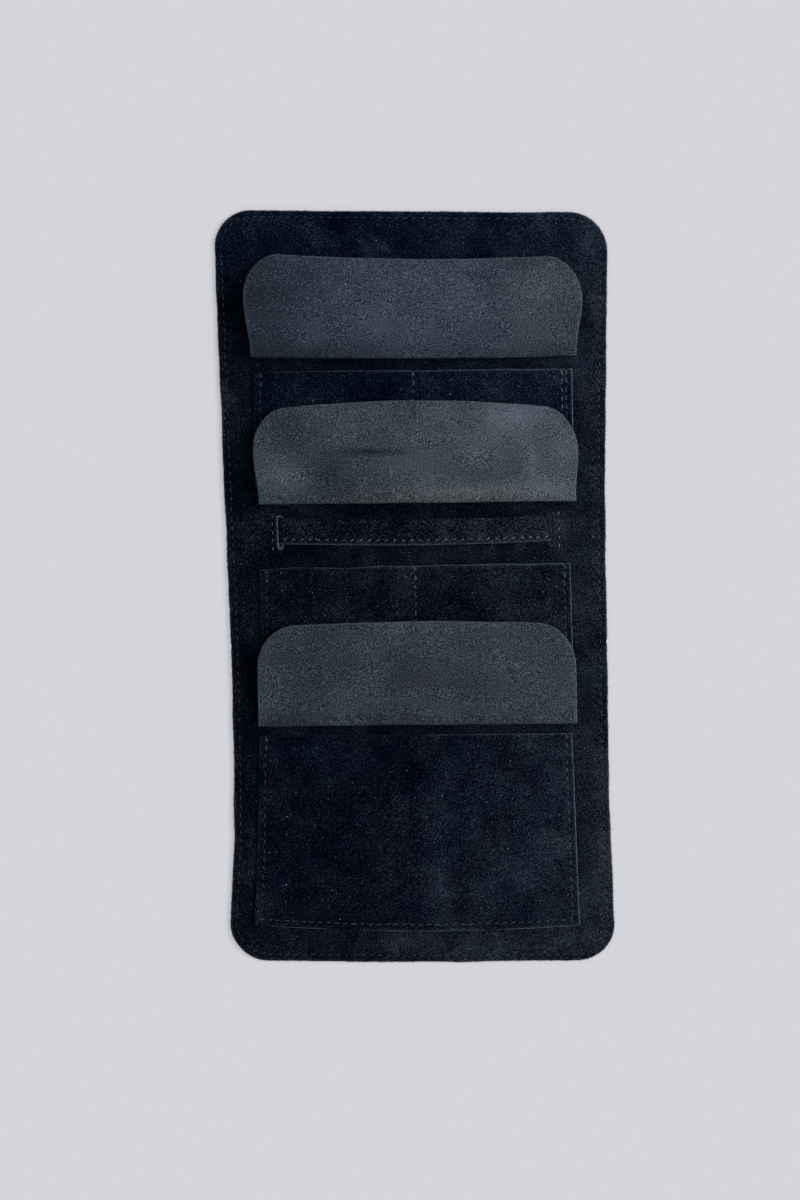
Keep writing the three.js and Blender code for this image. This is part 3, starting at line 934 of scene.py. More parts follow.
def stitchTree():
    tree, given, put = startTree("stitchRow", stitch, ("Finish", "Hole Finish"))

    # one stitch: both ends go down into the leather, and the thread swells between them
    reach = calculate(tree, "MULTIPLY", given["Stitch Length"], 0.5)
    back = calculate(tree, "MULTIPLY", reach, -1)
    down = calculate(tree, "MULTIPLY", given["Sink"], -1)
    arch = put("GeometryNodeCurveQuadraticBezier", {}, {
        "Resolution": stitchForm["archSteps"],
        "Start": put("ShaderNodeCombineXYZ", {}, {"X": back, "Z": down}),
        "Middle": put("ShaderNodeCombineXYZ", {}, {"Z": given["Rise"]}),
        "End": put("ShaderNodeCombineXYZ", {}, {"X": reach, "Z": down}),
    })
    along = put("GeometryNodeSplineParameter", {}, {}, "Factor")
    swell = calculate(tree, "SINE", calculate(tree, "MULTIPLY", along, math.pi))
    thin, more = stitchForm["fullness"]
    fullness = calculate(tree, "ADD", calculate(tree, "MULTIPLY", swell, more), thin)
    line = put("GeometryNodeSetCurveRadius", {}, {"Curve": arch, "Radius": fullness})
    ring = put("GeometryNodeCurvePrimitiveCircle", {}, {
        "Resolution": stitchForm["sides"], "Radius": given["Thread Radius"],
    })
    thread = put("GeometryNodeCurveToMesh", {}, {"Curve": line, "Profile Curve": ring, "Fill Caps": True})

    # the row: one stitch a pitch, turned along the path and set upright on the surface
    stray, size = strayAndSize(given, put, stitchForm)
    tangent = put("GeometryNodeInputTangent", {}, {})
    aside = combine(tree, "CROSS_PRODUCT", given["Up"], tangent)
    aim = combine(tree, "MULTIPLY_ADD", aside, given["Slant"], tangent)
    aim = combine(tree, "MULTIPLY_ADD", stray, given["Wander"], aim)
    turned = put("FunctionNodeAlignRotationToVector", {"axis": "X"}, {"Vector": aim})
    upright = put("FunctionNodeAlignRotationToVector", {"axis": "Z", "pivot_axis": "X"}, {
        "Rotation": turned, "Vector": given["Up"],
    })
    places = placesAlong(given, put)
    stitches = put("GeometryNodeInstanceOnPoints", {}, {
        "Points": places, "Instance": thread, "Rotation": upright, "Scale": size,
    })

    # between two stitches the needle has left a hole, its dark disc a painted shade
    halfPitch = calculate(tree, "MULTIPLY", given["Pitch"], 0.5)
    onward = put("ShaderNodeVectorMath", {"operation": "SCALE"}, {0: tangent, "Scale": halfPitch})
    pit = put("GeometryNodeMeshCylinder", {"fill_type": "NGON"}, {
        "Vertices": stitchForm["sides"],
        "Radius": given["Hole Radius"],
        "Depth": calculate(tree, "MULTIPLY", given["Hole Radius"], stitchForm["holeDepth"]),
    })
    known = put("GeometryNodeStoreNamedAttribute", {"data_type": "BOOLEAN", "domain": "FACE"}, {
        "Geometry": pit, "Name": "needleHole", "Value": True,
    })
    flat = put("FunctionNodeAlignRotationToVector", {"axis": "Z"}, {"Vector": given["Up"]})
    pits = put("GeometryNodeInstanceOnPoints", {}, {
        "Points": put("GeometryNodeSetPosition", {}, {"Geometry": places, "Offset": onward}),
        "Instance": known, "Rotation": flat, "Scale": size,
    })
    row = tree.nodes.new("GeometryNodeJoinGeometry")
    for made in (stitches, pits):
        tree.links.new(made, row.inputs["Geometry"])
    inHole = put("GeometryNodeInputNamedAttribute", {"data_type": "BOOLEAN"}, {"Name": "needleHole"})
    finishTree(given, put, row.outputs["Geometry"], inHole)
    return tree


def fuzzTree():
    tree, given, put = startTree("edgeFuzz", fuzz, ("Finish",))
    fibre = put("GeometryNodeMeshCone", {"fill_type": "NGON"}, {
        "Vertices": fuzzForm["sides"],
        "Radius Top": 0,
        "Radius Bottom": given["Fibre Radius"],
        "Depth": given["Fibre Length"],
    })
    stray, size = strayAndSize(given, put, fuzzForm)
    away = combine(tree, "CROSS_PRODUCT", put("GeometryNodeInputTangent", {}, {}), given["Up"])
    aim = combine(tree, "MULTIPLY_ADD", stray, given["Spread"], away)
    turned = put("FunctionNodeAlignRotationToVector", {"axis": "Z"}, {"Vector": aim})
    finishTree(given, put, put("GeometryNodeInstanceOnPoints", {}, {
        "Points": placesAlong(given, put), "Instance": fibre, "Rotation": turned, "Scale": size,
    }))
    return tree


stitchRow = stitchTree()
edgeFuzz = fuzzTree()


def throughTree(name, tree, paths, values, finishes):  # runs the tree on open paths and keeps a plain mesh
    points = np.concatenate(paths)
    starts = np.cumsum([0, *(len(path) for path in paths)])
    edges = [(i, i + 1) for low, high in zip(starts, starts[1:]) for i in range(low, high - 1)]
    mesh = bpy.data.meshes.new(name + "Path")
    mesh.from_pydata(points.tolist(), edges, [])
    carrier = addObject(name + "Path", mesh)
    modifier = carrier.modifiers.new("row", "NODES")
    modifier.node_group = tree
    keys = {item.name: item.identifier for item in tree.interface.items_tree if item.in_out == "INPUT"}
    for label, value in {**values, **finishes}.items():
        modifier[keys[label]] = value
    graph = bpy.context.evaluated_depsgraph_get()
    made = bpy.data.meshes.new_from_object(carrier.evaluated_get(graph))
    bpy.data.objects.remove(carrier)
    bpy.data.meshes.remove(mesh)
    made.name = name
    return addObject(name, made)


def sew(name, paths, slot, thread=blackThread, **changes):
    finishes = {"Finish": thread, "Hole Finish": needleHole}
    piece = throughTree(name, stitchRow, paths, {**stitch, **changes}, finishes)
    return piece


def roughen(name, loops, slot, finish, **changes):
    piece = throughTree(name, edgeFuzz, loops, {**fuzz, **changes}, {"Finish": finish})
    return piece


def splitAtFold(path, bend):  # parts outside the bend band, then the parts inside it
    low, high = min(bend), max(bend)
    inside = (path[:, 1] > low) & (path[:, 1] < high)
    parts = np.split(path, np.flatnonzero(np.diff(inside)) + 1)
    flat = [part for part in parts if not low < part[0, 1] < high]
    return flat, [part for part in parts if low < part[0, 1] < high]


threadLift = np.array([0, 0, 0.05 * mm])  # how far the seams lie above the leather
edgeSeam = {"Rise": 0.34 * mm, "Sink": 0.4 * mm, "Thread Radius": 0.22 * mm}
foldSeam = {**edgeSeam, "Stitch Length": 1.5 * mm}  # short, for the seam inside the bend band
onBack = {"Up": (0, 0, -1), "Rise": 0.2 * mm, "Seed": 12}
columns = wrapColumns()
for label, half in halves.items():
    liningPiece, frontSeam, liningLoops = makeLining(label, half, columns)
    outerPiece, backSeam, outerLoops = makeOuter(label, half, columns)
    paddingPiece = makePadding(label, half, columns)
    frontFlat, frontFold = splitAtFold(frontSeam + threadLift, half["bend"])
    backFlat, backFold = splitAtFold(backSeam - threadLift, half["bend"])
    seams = [
        sew("edgeSeam" + label, frontFlat, "lining_suede", shadedThread, **edgeSeam),
        sew("edgeSeamFold" + label, frontFold, "lining_suede", shadedThread, **foldSeam),
        sew("backSeam" + label, backFlat, "outer_suede", shadedThread, **{**edgeSeam, **onBack}),
        sew("backSeamFold" + label, backFold, "outer_suede", shadedThread, **{**foldSeam, **onBack}),
        roughen("liningFuzz" + label, liningLoops, "lining_suede", blackNap),
        roughen("outerFuzz" + label, outerLoops, "outer_suede", blackNap, Seed=72),
    ]
    for seam in seams:
        bendAtFold(seam)
print("wrap sheets made and sewn:", len(columns), "columns")


# Pocket fronts: sewn at the sides and the base, and between two compartments, bellied in between

pocket = {
    "thickness": 1 * mm,
    "step": 1.1 * mm,
    "seamInset": 3 * mm,
    "seamDip": 0.3 * mm,
    "dipWidth": 0.9 * mm,
    "dipFrom": 0.6,
    "belly": 3.3 * mm,
    "baseSlope": 0.5,
    "ripple": 0.3 * mm,
    "rippleSize": 17 * mm,
    "mouthWave": 0.3 * mm,
    "mouthWaveSize": 24 * mm,
    "edgeFlare": 0.45 * mm,
    "gap": 0.03 * mm,
    "rim": 0.32 * mm,
    "edgeRow": 0.4 * mm,
    "wearReach": 0.3 * mm,
    "wearAndLight": 0.45,
    # the cut edges painted paler on the right and darker on the left: painted light and shade
    "rimLightToRight": 0.6,
    "wearPatches": 0.6,
    "wearSize": 15 * mm,
    "wearSeed": 40,
    "mouthRoom": 0.6,
    "backSewn": 5.5 * mm,
    "backShift": [0.6 * mm, 0, 0.1 * mm],
    "wiggle": 0.45 * mm,
    "wiggleSize": 4 * mm,
    "leftSeam": {"Seed": 20, "Thread Radius": 0.2 * mm, "Wander": 0.24},
    "seam": {"Seed": 21},
    "seamEnds": {"Seed": 22, "Pitch": 3.1 * mm},
    "paleSeam": {"Seed": 23, "Thread Radius": 0.2 * mm, "Wander": 0.3},
    "fuzz": {"Seed": 73, "Pitch": 0.5 * mm},
}
# marks, from the middle of the base: across, up, reach across, reach up, change of tone
pockets = {
    "upperPocket": {
        "node": "upper_pocket", "body": "top", "divided": True, "shift": 0, "skew": 0, "seed": 2.3,
        "waves": 1, "tilt": 0.5 * mm, "cast": -0.15, "wearAtMouth": 0.15, "secondRow": 4.8 * mm,
        "restsOn": ["liningUpper"],
        "marks": [(-19, 50, 14, 12, -0.06), (-42, 50, 10, 12, 0.01)],
    },
    "middlePocket": {
        "node": "middle_pocket", "body": "middle", "divided": True, "shift": -1 * mm, "skew": 0, "seed": 5.1,
        "waves": 2.4, "tilt": 0.8 * mm, "cast": 0.95, "wearAtMouth": 0.25,
        "restsOn": ["liningUpper", "liningLower"],
        "marks": [(-32, 60, 22, 12, -0.022), (-68, 58, 8, 12, 0.014), (0, 60, 8, 12, 0.01)],
    },
    "lowerPocket": {
        "node": "lower_pocket", "body": "bottom", "divided": False, "shift": -2.6 * mm, "skew": -0.1 * mm,
        "seed": 9.6, "waves": 1, "tilt": 0, "cast": 0.6, "wearAtMouth": -0.25, "mouthWidth": 161 * mm,
        "bow": 1.2 * mm, "shownBow": 2.4 * mm,
        "restsOn": ["liningLower"],
        "marks": [
            (-2, 78, 5, 22, -0.03), (-40, 46, 9, 10, -0.03), (-55, 16, 11, 8, -0.03),
            (-24, 11, 9, 6, -0.024), (-45, 80, 26, 16, -0.012), (13, 56, 7, 44, 0.026),
            (18, 34, 9, 10, 0.012), (26, 10, 9, 6, -0.02), (36, 84, 13, 10, -0.034),
            (-58, 28, 12, 8, 0.012), (-38, 72, 9, 7, 0.016), (-16, 82, 13, 15, -0.046),
            (-40, 55, 20, 20, -0.024), (2, 54, 10, 12, -0.014), (35, 22, 26, 18, 0.022),
            (64, 62, 16, 40, 0.018), (74, 50, 8, 45, 0.02),
        ],
    },
}


def makePocket(name, cut):
    low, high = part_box(cut["node"])
    baseHalf = high.x
    mouthHalf = cut.get("mouthWidth", 2 * baseHalf) / 2
    base = low.y + cut.get("bow", 0)
    length = high.y - base
    inset = pocket["seamInset"]
    close = pocket["edgeRow"]
    leftStops = [-mouthHalf, close - mouthHalf, inset - mouthHalf]
    across = stepped([*leftStops, 0, mouthHalf - inset, mouthHalf - close, mouthHalf], pocket["step"])
    along = stepped([0, close, inset, length - close, length], pocket["step"])
    x, y = (part.ravel() for part in np.meshgrid(across, along))
    share = y / length
    wide = mouthHalf + (baseHalf - mouthHalf) * (1 - share)
    fromSide = mouthHalf - np.abs(x)
    fromMiddle = np.abs(x) if cut["divided"] else np.full(len(x), mouthHalf)
    chamber = (mouthHalf - inset) / (2 if cut["divided"] else 1)
    rise = np.sin(np.pi / 2 * np.clip(np.minimum(fromSide - inset, fromMiddle) / chamber, 0, 1))
    lift = smooth((y - inset) / (pocket["baseSlope"] * length))
    placed = np.column_stack([x * wide / mouthHalf + cut["shift"] + cut["skew"] * (1 - share), base + y])
    placed[:, 1] -= cut.get("shownBow", 0) * (1 - (x / mouthHalf) ** 2) * (1 - share)
    wave = relief(np.column_stack([x, np.zeros(len(x))]), pocket["mouthWaveSize"], cut["seed"])
    wavy = pocket["mouthWave"] * cut["waves"] * wave * share ** 4  # only towards the mouth
    placed[:, 1] += wavy + cut["tilt"] * x / mouthHalf * share
    ripple = pocket["ripple"] * relief(placed, pocket["rippleSize"], cut["seed"]) * np.sqrt(rise * lift)
    fromEdge = np.minimum(fromSide, y)
    flare = pocket["edgeFlare"] * (1 - smooth(fromEdge / inset))
    bellied = np.maximum(pocket["belly"] * rise * lift + ripple, 0)
    underZ = liningHeight(placed) + pocket["gap"] + bellied + flare
    seam = np.maximum(ridge(fromSide - inset, pocket["dipWidth"]), ridge(y - inset, pocket["dipWidth"]))
    seam = np.where(fromEdge < inset * pocket["dipFrom"], 0, seam)
    if cut["divided"]:
        seam = np.maximum(seam, ridge(x, pocket["dipWidth"]))
    topZ = underZ + pocket["thickness"] - pocket["seamDip"] * seam
    top = layDown(np.column_stack([placed, topZ]))
    under = layDown(np.column_stack([placed, underZ]))
    quads = gridQuads(len(along), len(across))
    finishes = (pocketSuede, pocketSuede, cutEdge)
    local = np.column_stack([x, y])
    patches = pocket["wearPatches"] * relief(local, pocket["wearSize"], cut["seed"] + pocket["wearSeed"])
    # wear with patches, plus right edges painted lighter and left edges darker: painted light and shade
    wornAndLit = pocket["wearAndLight"] + pocket["rimLightToRight"] * x / mouthHalf + patches
    wornAndLit += cut["wearAtMouth"] * smooth((y - length + inset) / inset)
    painting = {
        "wearAndLight": np.clip(wornAndLit, 0, 1),
        "wearReach": pocket["wearReach"],
        "toneShift": napAndLightMarks(local, cut["marks"], suedeLook["toRight"]),
        "cast": cut["cast"],
    }
    piece, loops = buildSheet(name, top, under, quads, pocket["rim"], finishes, **painting)
    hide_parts(cut["node"])
    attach(piece, cut["body"])
    face = top.reshape(len(along), len(across), 3)
    return face + threadLift, across, along, loops


def sewPocket(name, cut, face, across, along, loops):
    mouthHalf, length, inset = across[-1], along[-1], pocket["seamInset"]
    left, right, middle = (nearest(across, x) for x in (inset - mouthHalf, mouthHalf - inset, 0))
    foot = nearest(along, inset)
    mouth = nearest(along, length - stitch["Stitch Length"] * pocket["mouthRoom"])
    rows = slice(foot, mouth + 1)
    leftSide = face[rows, left][::-1]
    baseAndRight = np.concatenate([face[foot, left:right], face[rows, right]])
    ends = [left, right]
    paler = []
    if cut["divided"]:
        byEye = face[rows, middle][::-1].copy()
        line = np.column_stack([np.zeros(len(byEye)), byEye[:, 1]])
        byEye[:, 0] += pocket["wiggle"] * relief(line, pocket["wiggleSize"], cut["seed"])
        paler.append(byEye)
        ends.append(middle)
    if "secondRow" in cut:
        paler.append(face[rows, nearest(across, mouthHalf - cut["secondRow"])][::-1])
    # the seam is sewn back over itself at the mouth
    back = slice(nearest(along, length - pocket["backSewn"]), mouth + 1)
    backPaths = [face[back, column] + np.array(pocket["backShift"]) for column in ends]
    dressing = [
        sew(name + "LeftSeam", [leftSide], "pocket_suede", shadedThread, **pocket["leftSeam"]),
        sew(name + "Seam", [baseAndRight], "pocket_suede", **pocket["seam"]),
        sew(name + "SeamEnds", backPaths, "pocket_suede", **pocket["seamEnds"]),
        roughen(name + "Fuzz", loops, "pocket_suede", blackNap, **pocket["fuzz"]),
    ]
    if paler:
        dressing.append(sew(name + "PaleSeam", paler, "pocket_suede", highlitThread, **pocket["paleSeam"]))
    for extra in dressing:
        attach(extra, cut["body"])


for name, cut in pockets.items():
    sewPocket(name, cut, *makePocket(name, cut))
print("pockets made:", len(pockets))


# Holding strap: a strip folded double along its upper edge, sewn along the lower one, ends through the slits

strap = {
    "leaf": 0.54 * mm,
    "fold": 0.32 * mm,
    "trim": 0.75 * mm,
    "raise": 0.5 * mm,
    "seamFromEdge": 2.4 * mm,
    "seamEnds": 2.5 * mm,
    "seamLift": [0, 0, 0.04 * mm],
    "seam": {
        "Stitch Length": 1.5 * mm, "Thread Radius": 0.27 * mm, "Hole Radius": 0.5 * mm, "Slant": 0.35,
        "Seed": 31,
    },
    "sag": 1.3 * mm,
    "droop": 1.6 * mm,
    "columnStep": 0.9 * mm,
    "foldSteps": 6,
    "stepsBetween": 7,
    "wave": 0.25 * mm,
    "waveSize": 30 * mm,
    "waveSeed": 4.4,
    "rim": 0.12 * mm,
    "tone": -0.004,
    # lighter towards the right end: a painted sheen
    "toRight": 0.055,
    "slate": 0.95,
    # from the hidden end up through the slit to the middle: across and up
    "run": [
        (80, 1.6), (72.4, 1.6), (70.6, 1.9), (70, 2.9), (69.1, 4),
        (66, 4.9), (57, 6.4), (44, 7.5), (24, 7.9), (0, 7.9),
    ],
}
strapEnds = {
    "x": 74 * mm,
    "beyond": 1.2 * mm,
    "step": 1 * mm,
    "seam": {
        "Pitch": 3.9 * mm, "Stitch Length": 1.7 * mm, "Wander": 0.4, "Hole Radius": 0.45 * mm, "Seed": 41,
    },
}


def throughPoints(points, steps):  # a smooth line through hand-set points
    ends = [2 * points[0] - points[1], *points, 2 * points[-1] - points[-2]]
    line = []
    for p, q, r, s in zip(ends, ends[1:], ends[2:], ends[3:]):
        for i in range(steps):
            t = i / steps
            curved = (2 * p - 5 * q + 4 * r - s) * t ** 2
            twisted = (3 * q - p - 3 * r + s) * t ** 3
            line.append(0.5 * (2 * q + (r - p) * t + curved + twisted))
    return np.array([*line, points[-1]])


def makeStrap():
    right = [np.array(point) * mm for point in strap["run"]]
    left = [np.array((-x, z)) * mm for x, z in strap["run"][:-1]]
    line = throughPoints([*left, *reversed(right)], strap["stepsBetween"])
    heading = np.gradient(line, axis=0)
    heading /= np.linalg.norm(heading, axis=1)[:, None]
    fold = strap["fold"]
    half = (strapHigh.y - strapLow.y) / 2 - strap["trim"]
    flat = stepped([-half, strap["seamFromEdge"] - half, half - fold], strap["columnStep"])
    bends = np.radians(np.linspace(90, -90, strap["foldSteps"] + 1))[1:-1]
    rounded = [(math.cos(bend), math.sin(bend)) for bend in bends]
    profile = [(y, fold) for y in flat]
    profile += [(half - fold + fold * aside, fold * up) for aside, up in rounded]
    profile += [(y, -fold) for y in flat[::-1]]
    facing = [(0, 1)] * len(flat) + rounded + [(0, -1)] * len(flat)
    middleY = (strapLow.y + strapHigh.y) / 2 + strap["raise"]
    top, under = [], []
    for (x, z), (ux, uz) in zip(line, heading):
        held = max(0, 1 - (x / slit["x"]) ** 2)
        wave = noise.noise(Vector((x / strap["waveSize"], strap["waveSeed"], 0)))
        y0 = middleY - strap["sag"] * held + strap["wave"] * wave * held
        normal = np.array([-uz, 0, ux])
        for (y, up), (faceY, faceUp) in zip(profile, facing):
            lower = strap["droop"] * held * (0.5 - 0.5 * y / half)  # the sewn edge hangs lower than the fold
            spot = np.array([x, y0 + y, z - lower]) + normal * up
            out = normal * faceUp + np.array([0, faceY, 0])
            top.append(spot + out * strap["leaf"] / 2)
            under.append(spot - out * strap["leaf"] / 2)
    quads = [tuple(reversed(quad)) for quad in gridQuads(len(line), len(profile))]
    top, under = (layDown(np.array(face)) for face in (top, under))
    finishes = (strapSuede, strapSuede, cutEdge)
    painting = {
        "toneShift": strap["tone"] + napAndLightMarks(top[:, :2], [], strap["toRight"]),
        "cast": strap["slate"],
    }
    piece = buildSheet("holdingStrap", top, under, quads, strap["rim"], finishes, **painting)[0]
    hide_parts("holding_strap")
    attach(piece, "middle")
    # the strip is twice as wide before it is folded
    shown = np.abs(line[:, 0]) < slit["x"] - strap["seamEnds"]
    face = top.reshape(len(line), len(profile), 3)
    return face[shown, nearest(flat, strap["seamFromEdge"] - half)]


strapPath = makeStrap() + np.array(strap["seamLift"])
beyond = strapEnds["beyond"]
places = stepped([strapLow.y - beyond, strapHigh.y + beyond], strapEnds["step"])
endPaths = []
for side in (-1, 1):
    spots = np.column_stack([np.full(len(places), side * strapEnds["x"]), places])
    endPaths.append(layDown(np.column_stack([spots, liningHeight(spots) + slitLips(spots)])) + threadLift)
for seam in (
    sew("strapSeam", [strapPath], "strap_suede", highlitThread, **strap["seam"]),
    sew("strapEndSeam", endPaths, "strap_suede", highlitThread, **strapEnds["seam"]),
):
    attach(seam, "middle")
print("strap made and sewn down")


# Flaps: one sheet from the band sewn on the lining, up, over the rolled fold and out along the blade

flap = {
    "thickness": 1.1 * mm,
    "seamBand": 3.6 * mm,
    "footPull": 2.6 * mm,
    "crestPull": 0.5,
    "rollRadius": 1.2 * mm,
    "columnStep": 1.5 * mm,
    "bandStep": 0.9 * mm,
    "slopeSteps": 12,
    "rollSteps": 8,
    "bladeStep": 1.4 * mm,
    "cornerSteps": 14,
    "bladeStart": 6 * mm,
    "droopPower": 1.7,
    "ripple": 0.4 * mm,
    "rippleSize": 26 * mm,
    "creaseFade": (0.1, 0.8),
    "rim": 0.28 * mm,
    "gap": 0.04 * mm,
    "leanOfBlend": 0.12,
    "blendBelowFold": (4 * mm, 0.5 * mm),
    "sway": 0.35 * mm,
    "swaySize": 15 * mm,
    "swayPower": 6,
    "waver": 0.35 * mm,
    "waverSize": 24 * mm,
    "seamFromBandEnd": 2 * mm,
    "seamEnds": 3 * mm,
    "seamStep": 2 * mm,
    "seam": {"Seed": 51},
    "fuzz": {"Seed": 74, "Pitch": 0.45 * mm},
}
# marks, from the middle of the fold: across, out along the blade, reach across, reach out, change; those
# along the fold and the creases are painted shade and highlight
# creases: from point to point on the blade, then depth and width
flaps = {
    "upperFlap": {
        "node": "upper_flap", "section": "top", "shift": 0.5 * mm, "cornerAcross": 18 * mm,
        "cornerAlong": 21 * mm, "crown": -0.8 * mm, "arch": 0.9 * mm, "droop": 3.4 * mm, "bow": 1.1 * mm,
        "slim": 1.1 * mm, "short": 1 * mm, "widen": 0, "skew": 0, "seed": 1.4,
        "restsOn": ["liningUpper"],
        "creases": [],
        "marks": [
            # (-40, 1), (50, 0) and (-64, 0) darken the blade along the fold: painted shade
            (-80, 25, 28, 40, -0.072), (-30, 8, 26, 7, -0.02), (25, 26, 16, 22, 0.02),
            (66, 36, 16, 12, 0.03), (40, 30, 7, 26, -0.02), (80, 8, 10, 10, 0.02), (-40, 1, 50, 6, -0.045),
            (50, 0, 40, 4, -0.035), (-64, 0, 26, 3.5, -0.05), (-4, 28, 40, 20, 0.009),
        ],
        "warmth": 0.05,
        "warmMarks": [(75, 20, 30, 40, 0.25)],
    },
    "middleFlap": {
        "node": "middle_flap", "section": "top", "shift": 1.3 * mm, "cornerAcross": 18 * mm,
        "cornerAlong": 26 * mm, "crown": 3.2 * mm, "arch": 0.8 * mm, "droop": 0.6 * mm, "bow": 0,
        "slim": 0.7 * mm, "short": 0.9 * mm, "widen": 0.1 * mm, "skew": -1.3 * mm, "seed": 6.8,
        "restsOn": ["liningUpper"],
        "creases": [
            ((-34, 23), (-4, 26), 0.45, 1.3), ((58, 10), (60, 30), 0.4, 1.6), ((14, 7), (50, 3), -0.5, 4),
        ],
        "marks": [
            # (-22, 24.5) and (0, 47) are dark lines along creases and (60, 20) a light one: painted shade
            # and highlight; (32, 4) and (70, 2) lighten the fold at the right, a painted highlight; (-54, 2)
            # darkens it at the left, a painted shade
            (-66, 12, 10, 9, 0.05), (-44, 14, 12, 10, -0.045), (-22, 24.5, 15, 1.5, -0.12),
            (54, 45, 18, 8, 0.08), (76, 33, 7, 12, 0.04), (60, 20, 1.6, 9, 0.07), (32, 4, 34, 4, 0.06),
            (-70, 40, 16, 12, -0.03), (0, 47, 1.5, 5, -0.05), (50, 20, 6, 10, -0.02),
            (45, 28, 55, 30, 0.046), (-50, 30, 28, 26, -0.008), (70, 2, 14, 5, 0.035),
            (-54, 2, 26, 5, -0.018),
        ],
        "warmth": 0.25,
        # the warm band along the fold is a painted highlight
        "warmMarks": [(10, 1, 66, 6, 0.6), (34, 4, 14, 4, 0.3)],
    },
    "lowerFlap": {
        "node": "lower_flap", "section": "middle", "shift": -1.4 * mm, "cornerAcross": 20 * mm,
        "cornerAlong": 22 * mm, "crown": 1.5 * mm, "arch": 0.8 * mm, "droop": 0.5 * mm, "bow": 0,
        "slim": 1.2 * mm, "short": 0.6 * mm, "widen": 0.7 * mm, "skew": 0, "seed": 12.2,
        "restsOn": ["liningLower"],
        "creases": [],
        "marks": [
            # (-40, 1), (40, 0) and (-72, 0) darken the blade along the fold: painted shade
            (-30, 12, 12, 9, 0.02), (0, 26, 22, 18, -0.02), (-52, 26, 34, 34, -0.043),
            (45, 28, 34, 30, -0.012), (-40, 1, 50, 5, -0.03), (40, 0, 40, 4, -0.03), (-72, 0, 16, 4, -0.04),
        ],
        "warmth": 0.35,
        "warmMarks": [(5, 20, 28, 22, 0.16), (72, 25, 25, 30, -0.12)],
    },
}


def creaseDepth(xy, crease):
    start, end, depth, width = crease
    start, end = np.array(start) * mm, np.array(end) * mm
    run = end - start
    t = np.clip((xy - start) @ run / (run @ run), 0, 1)
    away = np.linalg.norm(xy - start - t[:, None] * run, axis=1)
    first, span = flap["creaseFade"]
    return -depth * mm * ridge(away, width * mm) * np.sin(np.pi * (first + span * t))


# rows along the leather: y, z, half width, and how far out on the blade
def flapRows(cut, rootLow, rootHigh, bladeHigh, hingeZ):
    thick, roll = flap["thickness"], flap["rollRadius"]
    rootHalf = rootHigh.x - cut["slim"] / 2 + cut["widen"]
    bladeHalf = bladeHigh.x - cut["slim"]
    bandZ = liningTop + flap["gap"] + thick / 2
    bandEnd = rootHigh.y - flap["seamBand"]
    rows = [(y, bandZ, rootHalf, 0) for y in stepped([rootHigh.y, bandEnd], flap["bandStep"])]
    crest = np.array([rootLow.y + thick / 2, hingeZ - roll])
    foot = np.array([bandEnd, bandZ])
    footPull = np.array([flap["footPull"], 0])
    crestPull = np.array([0, flap["crestPull"] * (crest[1] - bandZ)])
    pulls = [foot, foot - footPull, crest - crestPull, crest]
    for i in range(1, flap["slopeSteps"] + 1):
        t = i / flap["slopeSteps"]
        shares = ((1 - t) ** 3, 3 * t * (1 - t) ** 2, 3 * t * t * (1 - t), t ** 3)
        y, z = sum(share * pull for share, pull in zip(shares, pulls))
        rows.append((y, z, rootHalf, 0))
    for i in range(1, flap["rollSteps"] + 1):
        turn = math.pi * (1 - 0.5 * i / flap["rollSteps"])
        rows.append((crest[0] + roll * (1 + math.cos(turn)), crest[1] + roll * math.sin(turn), rootHalf, 0))
    begin = crest[0] + roll
    length = bladeHigh.y - cut["short"] - begin
    straight = length - cut["cornerAlong"]
    for out in stepped([0, straight], flap["bladeStep"])[1:]:
        half = rootHalf + (bladeHalf - rootHalf) * float(smooth(out / straight))
        rows.append((begin + out, hingeZ, half, out))
    for i in range(1, flap["cornerSteps"] + 1):
        turn = math.pi / 2 * i / flap["cornerSteps"]
        out = straight + cut["cornerAlong"] * math.sin(turn)
        rows.append((begin + out, hingeZ, bladeHalf - cut["cornerAcross"] * (1 - math.cos(turn)), out))
    return np.array(rows), length


